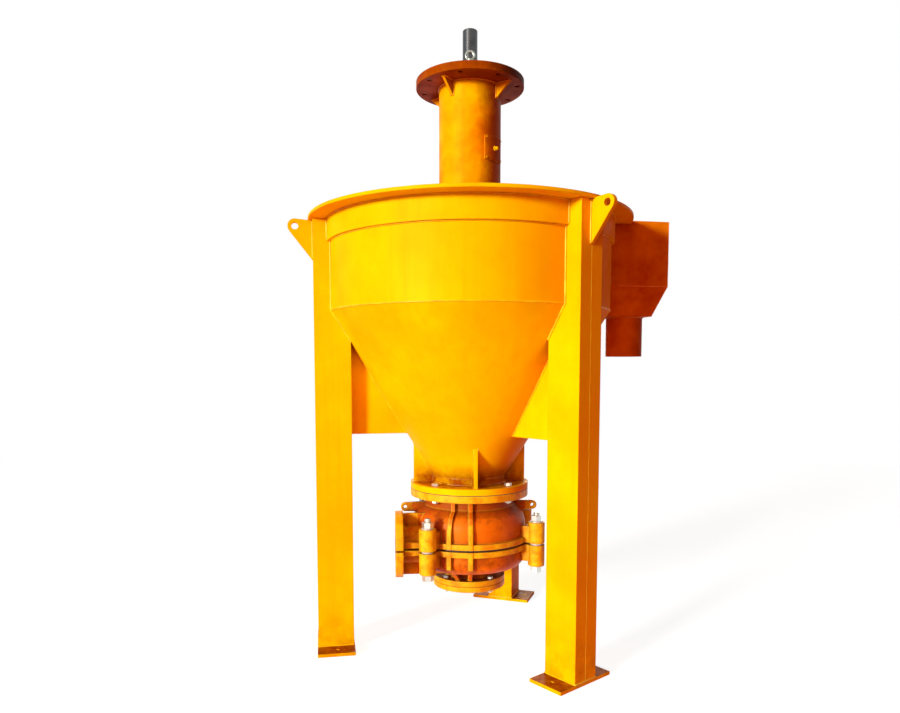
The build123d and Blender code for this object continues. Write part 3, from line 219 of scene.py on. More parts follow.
class StageSettings(bpy.types.PropertyGroup):
    """Camera place and lamp strengths."""
    camera_distance: FloatProperty(
        name="Camera distance", description="Level distance from the shaft axis to the camera",
        subtype="DISTANCE", unit="LENGTH", default=2.75166)
    camera_height: FloatProperty(
        name="Camera height", description="Height of the camera over the floor",
        subtype="DISTANCE", unit="LENGTH", default=1.05704)
    camera_azimuth: FloatProperty(
        name="Camera azimuth", description="Direction of the camera seen from the shaft",
        subtype="ANGLE", default=math.radians(-101.7))
    key_strength: FloatProperty(
        name="Key lamp", description="Strength of the soft lamp on the left", default=3.4, min=0.0)
    fill_strength: FloatProperty(
        name="Fill lamp", description="Strength of the soft lamp beside the camera", default=0.8, min=0.0)
    back_strength: FloatProperty(
        name="Back lamp", description="Strength of the soft lamp behind the unit", default=1.4, min=0.0)
    bright_sky: FloatVectorProperty(
        name="Bright side", description="Light from the side of the lamps", subtype="COLOR",
        size=3, min=0.0, max=1.0, default=(0.6, 0.11, 0.03))
    dark_sky: FloatVectorProperty(
        name="Dark side", description="Light from the side away from the lamps", subtype="COLOR",
        size=3, min=0.0, max=1.0, default=(0.14, 0.03, 0.012))


def polar(radius, angle, z=0.0):
    """Point at this radius, angle in degrees and height."""
    return np.array((radius * math.cos(math.radians(angle)), radius * math.sin(math.radians(angle)), z))


def turned(points, angle):
    """Turn points about the shaft axis by the angle in degrees."""
    c, s = math.cos(math.radians(angle)), math.sin(math.radians(angle))
    return np.asarray(points, float) @ np.array(((c, s, 0), (-s, c, 0), (0, 0, 1)))


def cone_radius(z):
    """Outer radius of the tank at height z: neck, cone, shell and band in turn."""
    cone = NECK_RADIUS + (z - CONE_FOOT) * CONE_SLOPE
    radius = np.clip(cone, NECK_RADIUS, SHELL_RADIUS)
    return np.where(z > BAND_BOTTOM, BAND_RADIUS, radius)


def run(points, step=0.003):
    """Points at even steps along a broken line: each is a share of the run length between corners."""
    points = np.asarray(points, float)
    length = np.r_[0, np.cumsum(np.linalg.norm(np.diff(points, axis=0), axis=1))]
    at = np.linspace(0, length[-1], max(int(length[-1] / step), 4))
    return np.stack([np.interp(at, length, points[:, k]) for k in range(3)], axis=1)


def ring(radius, z, first=0.0, last=360.0, step=0.003):
    """Points on a level arc: radius times cosine and sine of evenly spaced angles."""
    count = max(int(abs(radius * math.radians(last - first)) / step), 12)
    a = np.radians(np.linspace(first, last, count))
    return np.stack([radius * np.cos(a), radius * np.sin(a), np.full(count, z)], axis=1)


def tube(path, radius, sides=8):
    """Carry a circle along a path. Each point is path + radius (cos t N + sin t B), where N and B
    are square to the path, and the two ends are closed by a point each."""
    path = np.asarray(path, float)
    tangent = np.gradient(path, axis=0)
    tangent /= np.linalg.norm(tangent, axis=1, keepdims=True)
    reference = np.eye(3)[np.argmin(np.abs(tangent).max(axis=0))]
    normal = np.cross(tangent, reference)
    normal /= np.linalg.norm(normal, axis=1, keepdims=True)
    binormal = np.cross(tangent, normal)
    t = np.linspace(0, 2 * np.pi, sides, endpoint=False)
    circle = np.cos(t)[None, :, None] * normal[:, None] + np.sin(t)[None, :, None] * binormal[:, None]
    grid = path[:, None] + circle * np.broadcast_to(radius, len(path))[:, None, None]
    return grid, path[0], path[-1]


def close_grid(grid, first, last):
    """Vertices and faces of a grid that wraps round its second axis, with a point at either end."""
    rows, sides = grid.shape[:2]
    index = np.arange(rows * sides).reshape(rows, sides)
    after = np.roll(index, -1, axis=1)
    quads = np.stack([index[:-1], after[:-1], after[1:], index[1:]], axis=-1).reshape(-1, 4)
    start = np.full(sides, rows * sides)
    end = start + 1
    fans = np.concatenate([
        np.stack([after[0], index[0], start, start], axis=-1),
        np.stack([index[-1], after[-1], end, end], axis=-1)])
    vertices = np.concatenate([grid.reshape(-1, 3), [first], [last]])
    return vertices, np.concatenate([quads, fans])


def put_mesh(name, solids, material, body="frame", smooth=True):
    """Join several (vertices, faces) solids into one object that rides on a body. Its normals are
    made to point outwards; a face whose last two corners are equal is a triangle."""
    vertices, faces, base = [], [], 0
    for points, quads in solids:
        vertices.append(points)
        faces.append(quads + base)
        base += len(points)
    vertices, quads = np.concatenate(vertices), np.concatenate(faces)
    triangle = quads[:, 2] == quads[:, 3]
    counts = np.where(triangle, 3, 4)
    mesh = bpy.data.meshes.new(name)
    mesh.vertices.add(len(vertices))
    mesh.vertices.foreach_set("co", vertices.astype(np.float32).ravel())
    keep = np.ones_like(quads, bool)
    keep[triangle, 3] = False
    mesh.loops.add(int(counts.sum()))
    mesh.loops.foreach_set("vertex_index", quads[keep].astype(np.int32))
    mesh.polygons.add(len(quads))
    mesh.polygons.foreach_set("loop_start", np.r_[0, np.cumsum(counts)[:-1]].astype(np.int32))
    mesh.polygons.foreach_set("use_smooth", np.full(len(quads), smooth))
    mesh.update(calc_edges=True)
    mesh.validate()
    piece = bpy.data.objects.new(name, mesh)
    bpy.context.scene.collection.objects.link(piece)
    piece.data.materials.append(material)
    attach(piece, body)
    return piece


def bead(path, size=1.0, seed=1):
    """Weld bead along a path: its radius is the bead radius times (0.82 + 0.3 |sin(pi s / pitch)|)
    with a slow random swell, where s is the run length."""
    settings = bpy.context.scene.pump_settings
    path = np.asarray(path, float)
    s = np.r_[0, np.cumsum(np.linalg.norm(np.diff(path, axis=0), axis=1))]
    knots = np.arange(0, s[-1] + 0.06, 0.03)
    random = np.random.default_rng(seed)
    swell = np.interp(s, knots, random.uniform(0.85, 1.15, len(knots)))
    ripple = 0.82 + 0.3 * np.abs(np.sin(np.pi * s / settings.ripple_pitch))
    radius = settings.bead_radius * size * swell * ripple
    grid, first, last = tube(path, radius)
    return close_grid(grid, first, last)


def lathed(z, section, flat=None, groove=0.0, pitch=0.002, sides=60):
    """Grid of a turned form over height and angle. A point's radius is the smaller of the section's
    radius at its row and, with flats, flat / cos(angle to the nearest flat's middle). A thread takes
    away the row's groove times the triangle wave of z / pitch - angle / (2 pi)."""
    angle = np.linspace(0, 2 * np.pi, sides, endpoint=False)
    z, section = np.asarray(z, float), np.asarray(section, float)
    side = np.full(sides, 1.0) if flat is None else flat / np.cos(angle % (np.pi / 3) - np.pi / 6)
    wave = np.abs(2 * ((z[:, None] / pitch - angle / (2 * np.pi)) % 1) - 1)
    radius = np.minimum(section[:, None], side) - np.broadcast_to(groove, len(z))[:, None] * wave
    tall = np.repeat(z[:, None], sides, 1)
    return np.stack([radius * np.cos(angle), radius * np.sin(angle), tall], axis=-1)


def chamfer(radius):
    """Radii and rises of a 30 degree chamfer on a hexagon, from inside its flats out to a corner: a
    rise is the way out from the first radius times tan 30."""
    flat = HALF_FLATS * radius
    out = np.linspace(CHAMFER * flat, flat / math.cos(math.pi / 6), 5)
    return flat, out, (out - out[0]) * math.tan(math.pi / 6)


def nut(bore, bottom, top):
    """Hexagon nut: its section goes out along the bottom, up over two 30 degree chamfers and back
    along the top, with a countersink at each mouth, and closes on itself through the bore."""
    flat, out, rise = chamfer(bore)
    lip = 0.12 * bore
    z = np.r_[bottom + lip, bottom, bottom + rise, top - rise[::-1], top, top - lip]
    section = np.r_[bore, bore + lip, out, out[::-1], bore + lip, bore]
    grid = lathed(z, section, flat)
    rows, sides = grid.shape[:2]
    index = np.arange(rows * sides).reshape(rows, sides)
    after, above = np.roll(index, -1, axis=1), np.roll(index, -1, axis=0)
    quads = np.stack([index, after, np.roll(after, -1, axis=0), above], axis=-1).reshape(-1, 4)
    return grid.reshape(-1, 3), quads


def bolt(radius, tip, thread_end, top):
    """Hexagon bolt, tip down, as a lathed section: a chamfered, threaded end, a plain shank and a
    head with a washer face below and a 30 degree chamfer above."""
    flat, out, rise = chamfer(radius)
    pitch = PITCH * radius
    under = top - HEAD_HEIGHT * radius
    face = under + 0.04 * radius
    rows = np.linspace(tip + 0.3 * radius, thread_end, max(int((thread_end - tip) / pitch * 8), 4))
    z = np.r_[tip, rows, thread_end + RUN_OUT, under, under, face, face, top - rise[::-1], top]
    section = np.r_[0.7 * radius, np.full(len(rows), radius), radius, radius, 0.95 * flat, 0.95 * flat,
                    out[-1], out[::-1], 0.5 * flat]
    groove = np.r_[0.0, np.full(len(rows), 0.6 * pitch), np.zeros(len(z) - len(rows) - 1)]
    return close_grid(lathed(z, section, flat, groove, pitch), (0, 0, tip), (0, 0, top))


def stud(radius, bottom, thread_start, top):
    """Stud as a lathed section: a plain foot and a threaded, chamfered top."""
    pitch = PITCH * radius
    rows = np.linspace(thread_start, top - 0.25 * radius, max(int((top - thread_start) / pitch * 8), 4))
    z = np.r_[bottom, bottom + 0.1 * radius, thread_start - RUN_OUT, rows, top, top]
    section = np.r_[0.9 * radius, radius, radius, np.full(len(rows), radius), 0.78 * radius, 0.3 * radius]
    groove = np.r_[0.0, 0.0, 0.0, np.full(len(rows), 0.55 * pitch), 0.0, 0.0]
    return close_grid(lathed(z, section, None, groove, pitch, 48), (0, 0, bottom), (0, 0, top))


def moved(solid, x, y, angle=0.0):
    """A solid turned about its own axis and set at this place on the plan."""
    points, quads = solid
    return turned(points, angle) + np.array((x, y, 0.0)), quads


# Shader node groups

def new_group(name, inputs, outputs):
    """Empty shader group with these inputs, with their defaults, and these outputs. Vector and Normal
    are vectors, the rest are numbers. Returns its wires, what comes in and what goes out."""
    group = bpy.data.node_groups.new(name, "ShaderNodeTree")
    for side, labels in (("INPUT", inputs), ("OUTPUT", outputs)):
        for label in labels:
            kind = "NodeSocketVector" if label in ("Vector", "Normal") else "NodeSocketFloat"
            socket = group.interface.new_socket(label, in_out=side, socket_type=kind)
            if side == "INPUT" and inputs[label] is not None:
                socket.default_value = inputs[label]
    inside, outside = group.nodes.new("NodeGroupInput"), group.nodes.new("NodeGroupOutput")
    return Wires(group), inside.outputs, outside.inputs


class Wires:
    """Short hands to add nodes to a tree and link them."""

    def __init__(self, tree):
        self.tree = tree

    def fill(self, socket, value):
        """Link another socket to this one, or set its value."""
        if isinstance(value, bpy.types.NodeSocket):
            self.tree.links.new(value, socket)
        else:
            socket.default_value = value

    def node(self, kind, inputs=None, **options):
        """Add a node, set its options, then fill its inputs by name or number."""
        made = self.tree.nodes.new(kind)
        for key, value in options.items():
            setattr(made, key, value)
        for key, value in (inputs or {}).items():
            self.fill(made.inputs[key], value)
        return made

    def group(self, group, **inputs):
        """Place a node group and fill its inputs; returns its outputs."""
        named = {key.replace("_", " "): value for key, value in inputs.items()}
        return self.node("ShaderNodeGroup", named, node_tree=group).outputs

    def math(self, operation, *values, clamp=False):
        """Math node; returns its result."""
        return self.node("ShaderNodeMath", dict(enumerate(values)), operation=operation,
                         use_clamp=clamp).outputs[0]

    def measure(self, operation, *vectors):
        """Vector Math node that gives a number, such as a length."""
        made = self.node("ShaderNodeVectorMath", dict(enumerate(vectors)), operation=operation)
        return made.outputs["Value"]

    def height(self, vector):
        """The z of a vector."""
        return self.node("ShaderNodeSeparateXYZ", {0: vector}).outputs["Z"]

    def axis_distance(self, vector):
        """Level distance from the shaft axis."""
        x, y, _ = self.node("ShaderNodeSeparateXYZ", {0: vector}).outputs
        return self.measure("LENGTH", self.node("ShaderNodeCombineXYZ", {0: x, 1: y}).outputs[0])

    def noise(self, vector, scale, detail=4.0, roughness=0.55):
        """Noise texture; returns its value."""
        return self.node("ShaderNodeTexNoise", {
            "Vector": vector, "Scale": scale, "Detail": detail, "Roughness": roughness}).outputs["Fac"]

    def span(self, value, low_in, high_in, low_out=0.0, high_out=1.0):
        """Map a value from one range to another, clamped."""
        return self.node("ShaderNodeMapRange", {
            "Value": value, "From Min": low_in, "From Max": high_in,
            "To Min": low_out, "To Max": high_out}).outputs[0]

    def mix(self, factor, first, second):
        """Mix two colours by a factor."""
        colours = [value if isinstance(value, bpy.types.NodeSocket) else (*tuple(value)[:3], 1.0)
                   for value in (first, second)]
        inputs = {0: factor, 6: colours[0], 7: colours[1]}
        return self.node("ShaderNodeMix", inputs, data_type="RGBA").outputs[2]

    def over(self, tone, mask, share, colour):
        """Lay this share of a colour over a tone where the mask is."""
        return self.mix(self.math("MULTIPLY", mask, share), tone, colour)


def edge_group():
    """Edge mask, used for worn metal edges and for the painted highlight on painted edges: how far a
    rounded normal leans away from the real one, broken up by noise.
    """
    w, given, out = new_group("edge_wear_and_highlight", {"Vector": None, "Width": 0.003, "Break Up": 0.5},
                              ("Mask", "Normal"))
    rounded = w.node("ShaderNodeBevel", {"Radius": given["Width"]}, samples=4).outputs[0]
    plain = w.node("ShaderNodeNewGeometry").outputs["Normal"]
    edge = w.span(w.measure("DOT_PRODUCT", rounded, plain), 0.985, 0.86)
    broken = w.span(w.noise(given["Vector"], 45.0, 5.0, 0.7), 0.35, 0.6)
    limit = w.math("SUBTRACT", 1.0, given["Break Up"])
    share = w.math("ADD", limit, w.math("MULTIPLY", broken, given["Break Up"]), clamp=True)
    w.fill(out["Mask"], w.math("MULTIPLY", edge, share))
    w.fill(out["Normal"], rounded)
    return w.tree


def paint_group():
    """Brushed and sprayed paint: slow cloudy tone, runs down the plate, fine peel height and specks."""
    w, given, out = new_group("paint_film", {"Vector": None, "Cloud Scale": 3.0, "Peel Scale": 260.0},
                              ("Cloud", "Runs", "Peel", "Specks"))
    vector = given["Vector"]
    w.fill(out["Cloud"], w.span(w.noise(vector, given["Cloud Scale"], 6.0, 0.6), 0.32, 0.7))
    tall = w.node("ShaderNodeMapping", {"Vector": vector, "Scale": (26.0, 26.0, 1.1)}).outputs[0]
    w.fill(out["Runs"], w.span(w.noise(tall, 1.0, 3.0, 0.5), 0.5, 0.74))
    peel = w.math("MULTIPLY", w.noise(vector, given["Peel Scale"], 2.0, 0.5), 0.25)
    w.fill(out["Peel"], w.math("ADD", peel, w.noise(vector, 9.0, 2.0, 0.4)))
    w.fill(out["Specks"], w.span(w.noise(vector, 130.0, 3.0, 0.6), 0.68, 0.78))
    return w.tree


def casting_group():
    """Sand-cast skin: coarse pits over a fine grain."""
    w, given, out = new_group("casting_skin", {"Vector": None}, ("Height", "Pits"))
    vector = given["Vector"]
    grain = w.math("MULTIPLY", w.noise(vector, 210.0, 4.0, 0.65), 0.5)
    height = w.math("ADD", grain, w.noise(vector, 34.0, 3.0, 0.55))
    cells = w.node("ShaderNodeTexVoronoi", {"Vector": vector, "Scale": 95.0}).outputs["Distance"]
    pits = w.span(cells, 0.16, 0.05)
    w.fill(out["Height"], w.math("SUBTRACT", height, w.math("MULTIPLY", pits, 0.35)))
    w.fill(out["Pits"], pits)
    return w.tree


def grime_group():
    """Dirt that gathers low down and in slow patches."""
    w, given, out = new_group("grime", {"Vector": None, "Height": 0.12}, ("Mask",))
    rise = w.math("DIVIDE", w.height(given["Vector"]), given["Height"])
    low_down = w.math("SUBTRACT", 1.0, rise, clamp=True)
    patch = w.span(w.noise(given["Vector"], 14.0, 6.0, 0.65), 0.4, 0.66)
    w.fill(out["Mask"], w.math("MULTIPLY", low_down, patch))
    return w.tree


def corner_shade_group():
    """Mask of the painted shade in corners: how little of the sky a point sees within a short reach, broken
    up by noise.
    """
    w, given, out = new_group("corner_shade", {"Vector": None, "Reach": 0.04, "Start": 0.66, "Full": 0.22},
                              ("Mask",))
    open_share = w.node("ShaderNodeAmbientOcclusion", {"Distance": given["Reach"]}, samples=5).outputs["AO"]
    patch = w.span(w.noise(given["Vector"], 38.0, 5.0, 0.65), 0.3, 0.7, 0.55, 1.0)
    w.fill(out["Mask"], w.math("MULTIPLY", w.span(open_share, given["Start"], given["Full"]), patch))
    return w.tree


def flange_shade_group():
    """Mask of the painted shade on the flange round the neck and a little way up the cone, in slow patches.
    """
    w, given, out = new_group("flange_painted_shade", {"Vector": None}, ("Mask",))
    vector = given["Vector"]
    z = w.height(vector)
    over = w.span(z, *(FLANGE_TOP + rise for rise in FLANGE_SHADE_HEIGHTS))
    under = w.span(z, *(FLANGE_TOP - depth for depth in FLANGE_SHADE_DEPTHS))
    inner = w.span(w.axis_distance(vector), *FLANGE_SHADE_RADII)
    patch = w.span(w.noise(vector, 17.0, 6.0, 0.7), 0.3, 0.6, 0.25, 1.0)
    place = w.math("MULTIPLY", w.math("MULTIPLY", over, under), inner)
    w.fill(out["Mask"], w.math("MULTIPLY", place, patch))
    return w.tree


def side_and_ledge_shade_group():
    """Masks of painted shade: a deeper tone on the side away from the lamps, with a ragged border, and a
    dark tone on what faces up, in patches."""
    w, given, out = new_group("side_and_ledge_shade", {"Vector": None, "Ragged": 0.3}, ("Shaded Side", "Shaded Ledge"))
    vector = given["Vector"]
    normal = w.node("ShaderNodeNewGeometry").outputs["Normal"]
    away = w.measure("DOT_PRODUCT", normal, tuple(polar(1.0, SHADED_SIDE)))
    border = w.math("SUBTRACT", w.noise(vector, 9.0, 6.0, 0.65), 0.5)
    away = w.math("ADD", away, w.math("MULTIPLY", border, given["Ragged"]))
    w.fill(out["Shaded Side"], w.span(away, 0.5, 0.95))
    patch = w.span(w.noise(vector, 26.0, 4.0, 0.6), 0.36, 0.6, 0.7, 1.0)
    w.fill(out["Shaded Ledge"], w.math("MULTIPLY", w.span(w.height(normal), 0.6, 0.9), patch))
    return w.tree


def gloss_group():
    """Roughness that follows the paint's clouds and rises in the corners where the painted shade lies."""
    w, given, out = new_group("gloss", {"Cloud": 0.5, "Corner": 0.0, "Low": 0.3, "High": 0.5}, ("Rough",))
    rough = w.span(given["Cloud"], 0.0, 1.0, given["Low"], given["High"])
    corner = w.math("MULTIPLY", given["Corner"], 0.3)
    w.fill(out["Rough"], w.math("ADD", rough, corner, clamp=True))
    return w.tree


def new_material(name):
    """Material with its wires, the inputs of its Principled shader and object coordinates."""
    material = bpy.data.materials.new(name)
    material.use_nodes = True
    w = Wires(material.node_tree)
    vector = w.node("ShaderNodeTexCoord").outputs["Object"]
    return material, w, material.node_tree.nodes["Principled BSDF"].inputs, vector


def bump(w, shader, height, strength, distance, **normal):
    """Bump that feeds the shader; it can lean on a rounded normal."""
    inputs = {"Height": height, "Strength": strength, "Distance": distance, **normal}
    w.fill(shader["Normal"], w.node("ShaderNodeBump", inputs).outputs[0])


def tank_paint(name, groups, dirt_and_shade, colour, shade, highlight_colour=(1.0, 0.78, 0.04), wear=0.5, shine=0.06,
               lee=(0.97, 0.3, 0.0), shaded_side_share=0.7, ragged=0.3, cloud=2.4, ledge=0.0):
    """Paint on rolled plate, with painted highlight and painted shade. The edge colour and its share give
    the painted highlight on the edges; the next tone and its share give the painted shade on the side away
    from the lamps, ragged is how rough its border is, cloud is the scale of the patches, and the last share
    is how much painted shade lies on what faces up. Corners and the tank flange get painted shade too."""
    material, w, shader, vector = new_material(name)
    film = w.group(groups["paint"], Vector=vector, Cloud_Scale=cloud, Peel_Scale=300.0)
    edge = w.group(groups["edge"], Vector=vector, Width=0.003, Break_Up=0.6)
    low_down = w.group(groups["grime"], Vector=vector, Height=0.22)
    corner = w.group(groups["corner_shade"], Vector=vector, Reach=0.07)
    shade_masks = w.group(groups["shade_masks"], Vector=vector, Ragged=ragged)
    stain_and_shade = w.group(groups["flange"], Vector=vector)
    tone = w.mix(film["Cloud"], colour, shade)
    tone = w.over(tone, film["Runs"], 0.35, shade)
    # Painted shade on the side away from the lamps and on what faces up
    tone = w.over(tone, shade_masks["Shaded Side"], shaded_side_share, lee)
    tone = w.over(tone, shade_masks["Shaded Ledge"], ledge, (0.3, 0.045, 0.0))
    tone = w.over(tone, film["Specks"], 0.3, (0.6, 0.12, 0.0))
    # Painted highlight on the edges
    tone = w.over(tone, edge["Mask"], wear, highlight_colour)
    tone = w.over(tone, low_down["Mask"], 0.45, dirt_and_shade)
    # Painted shade in corners
    tone = w.over(tone, corner["Mask"], 0.4, dirt_and_shade)
    # Painted shade round the tank flange and a little way up the cone
    w.fill(shader["Base Color"], w.over(tone, stain_and_shade["Mask"], 0.95, FLANGE_SHADE_TONE))
    gloss = w.group(groups["gloss"], Cloud=film["Cloud"], Corner=corner["Mask"], Low=0.42, High=0.56)
    w.fill(shader["Roughness"], gloss["Rough"])
    shader["Specular IOR Level"].default_value = shine
    shader["Specular Tint"].default_value = (1.0, 0.72, 0.2, 1.0)
    bump(w, shader, film["Peel"], 0.16, 0.004, Normal=edge["Normal"])
    return material


def weld_paint(name, groups, dirt_and_shade, colour, shade):
    """Paint over weld metal: a little deeper than the plate, with fine lumps, painted shade in corners and
    painted shade round the tank flange.
    """
    material, w, shader, vector = new_material(name)
    patch = w.span(w.noise(vector, 22.0, 5.0, 0.6), 0.35, 0.65)
    corner = w.group(groups["corner_shade"], Vector=vector, Reach=0.07)
    stain_and_shade = w.group(groups["flange"], Vector=vector)
    # Painted shade in corners
    tone = w.over(w.mix(patch, colour, shade), corner["Mask"], 0.7, dirt_and_shade)
    # Painted shade round the tank flange
    w.fill(shader["Base Color"], w.over(tone, stain_and_shade["Mask"], 0.9, FLANGE_SHADE_TONE))
    w.fill(shader["Roughness"], w.span(patch, 0.0, 1.0, 0.3, 0.46))
    shader["Specular IOR Level"].default_value = 0.3
    bump(w, shader, w.noise(vector, 320.0, 3.0, 0.6), 0.25, 0.001)
    return material


def boss_mask(w, vector):
    """1 near the four boss axes and 0 on the body, from the distance to each pair on the plan."""
    level = w.node("ShaderNodeMapping", {"Vector": vector, "Rotation": (0.0, 0.0, math.radians(-PUMP_TURN)),
                                         "Scale": (1.0, 1.0, 0.0)}).outputs[0]
    folded = w.node("ShaderNodeVectorMath", {0: level}, operation="ABSOLUTE").outputs[0]
    along = w.node("ShaderNodeSeparateXYZ", {0: level}).outputs["X"]
    across = w.node("ShaderNodeSeparateXYZ", {0: folded}).outputs["Y"]
    plan = w.node("ShaderNodeCombineXYZ", {0: along, 1: across}).outputs[0]
    near = [w.measure("DISTANCE", plan, tuple(polar(BOSS_CIRCLE, angle)))
            for angle in (BOSS_ANGLES[0], BOSS_ANGLES[2])]
    return w.span(w.math("MINIMUM", *near), *BOSS_HIGHLIGHT_RADII)


def casing_paint(groups, dirt_and_shade, colour):
    """Orange paint on rough castings, with painted highlight on the bosses, ribs, cover rim and edges, rust
    in patches, and painted shade on the shoulder, on ledges, on the side away from the lamps and in
    corners."""
    material, w, shader, vector = new_material("casing_paint")
    film = w.group(groups["paint"], Vector=vector, Cloud_Scale=8.0, Peel_Scale=240.0)
    skin = w.group(groups["casting"], Vector=vector)
    edge = w.group(groups["edge"], Vector=vector, Width=0.009, Break_Up=0.35)
    corner = w.group(groups["corner_shade"], Vector=vector, Reach=0.09, Start=0.86, Full=0.36)
    shade_masks = w.group(groups["shade_masks"], Vector=vector, Ragged=0.6)
    z, radius = w.height(vector), w.axis_distance(vector)
    highlight_patch = w.span(w.noise(vector, 26.0, 4.0, 0.6), 0.36, 0.6, 0.35, 1.0)
    # Where the painted highlight lies: the ribs, the cover rim and the bosses
    highlight_place = w.math("MAXIMUM", w.span(radius, *RIB_HIGHLIGHT_RADII, 0.0, 0.8), w.span(z, *COVER_HIGHLIGHT_HEIGHTS, 0.0, 0.8))
    highlight_place = w.math("MAXIMUM", highlight_place, boss_mask(w, vector))
    # Painted shade on the shoulder under the tank flange and on low ledges, laid on with the rust
    shoulder_shade = w.math("MULTIPLY", w.span(radius, *SHOULDER_SHADE_RADII), w.span(z, *SHOULDER_SHADE_HEIGHTS))
    ledge = w.math("MULTIPLY", w.span(z, *LEDGE_SHADE_HEIGHTS), shade_masks["Shaded Ledge"])
    rust_and_shade = w.span(w.noise(vector, 12.0, 7.0, 0.7), 0.48, 0.62)
    rust_and_shade = w.math("MULTIPLY", rust_and_shade, w.math("SUBTRACT", 0.75, highlight_place, clamp=True))
    rust_and_shade = w.math("MAXIMUM", w.math("MAXIMUM", shoulder_shade, ledge), rust_and_shade)
    tone = w.mix(film["Cloud"], colour, (0.78, 0.13, 0.0))
    # Painted shade on the side away from the lamps
    tone = w.over(tone, shade_masks["Shaded Side"], 0.6, (0.45, 0.07, 0.0))
    # Painted highlight on the bosses, ribs and cover rim
    tone = w.over(tone, highlight_place, highlight_patch, (1.0, 0.68, 0.01))
    tone = w.over(tone, rust_and_shade, 0.85, (0.24, 0.03, 0.001))
    tone = w.over(tone, skin["Pits"], 0.4, (0.4, 0.05, 0.0))
    # Painted highlight on the edges
    tone = w.over(tone, edge["Mask"], 0.9, (1.0, 0.68, 0.03))
    # Painted shade in corners
    w.fill(shader["Base Color"], w.over(tone, corner["Mask"], 0.92, dirt_and_shade))
    gloss = w.group(groups["gloss"], Cloud=film["Cloud"], Corner=corner["Mask"], Low=0.36, High=0.52)
    w.fill(shader["Roughness"], gloss["Rough"])
    shader["Specular IOR Level"].default_value = 0.3
    shader["Specular Tint"].default_value = (1.0, 0.8, 0.45, 1.0)
    bump(w, shader, skin["Height"], 0.45, 0.003, Normal=edge["Normal"])
    return material


def metal_finish(name, groups, colour, dark, rough, scale, height=0.2, metallic=1.0):
    """Bare or plated metal: cloudy tone, fine grain in the gloss and bright worn edges."""
    material, w, shader, vector = new_material(name)
    edge = w.group(groups["edge"], Vector=vector, Width=0.0012, Break_Up=0.4)
    cloud = w.span(w.noise(vector, scale, 6.0, 0.65), 0.35, 0.7)
    grain = w.noise(vector, scale * 9.0, 3.0, 0.6)
    w.fill(shader["Base Color"], w.over(w.mix(cloud, colour, dark), edge["Mask"], 0.5, (0.95, 0.95, 0.93)))
    w.fill(shader["Roughness"], w.span(grain, 0.3, 0.7, rough * 0.75, rough * 1.3))
    shader["Metallic"].default_value = metallic
    bump(w, shader, grain, height, 0.0008, Normal=edge["Normal"])
    return material


def turned_steel(groups):
    """Ground shaft: fine rings from turning and a few stains."""
    material, w, shader, vector = new_material("bright_steel")
    edge = w.group(groups["edge"], Vector=vector, Width=0.0015, Break_Up=0.2)
    rings = w.noise(w.node("ShaderNodeCombineXYZ", {2: w.height(vector)}).outputs[0], 900.0, 3.0, 0.7)
    stain_and_shade = w.span(w.noise(vector, 24.0, 6.0, 0.7), 0.52, 0.72)
    w.fill(shader["Base Color"], w.mix(stain_and_shade, (0.08, 0.083, 0.085), (0.05, 0.05, 0.05)))
    w.fill(shader["Roughness"], w.span(rings, 0.3, 0.7, 0.22, 0.42))
    shader["Metallic"].default_value = 1.0
    bump(w, shader, rings, 0.12, 0.0005, Normal=edge["Normal"])
    return material


def black_rubber(groups):
    """Moulded rubber: matt, with a dusty bloom."""
    material, w, shader, vector = new_material("black_rubber")
    edge = w.group(groups["edge"], Vector=vector, Width=0.002, Break_Up=0.2)
    bloom = w.span(w.noise(vector, 30.0, 6.0, 0.7), 0.4, 0.75)
    w.fill(shader["Base Color"], w.mix(bloom, (0.018, 0.018, 0.02), (0.06, 0.055, 0.05)))
    w.fill(shader["Roughness"], w.span(bloom, 0.0, 1.0, 0.55, 0.8))
    bump(w, shader, w.noise(vector, 260.0, 2.0), 0.2, 0.001, Normal=edge["Normal"])
    return material


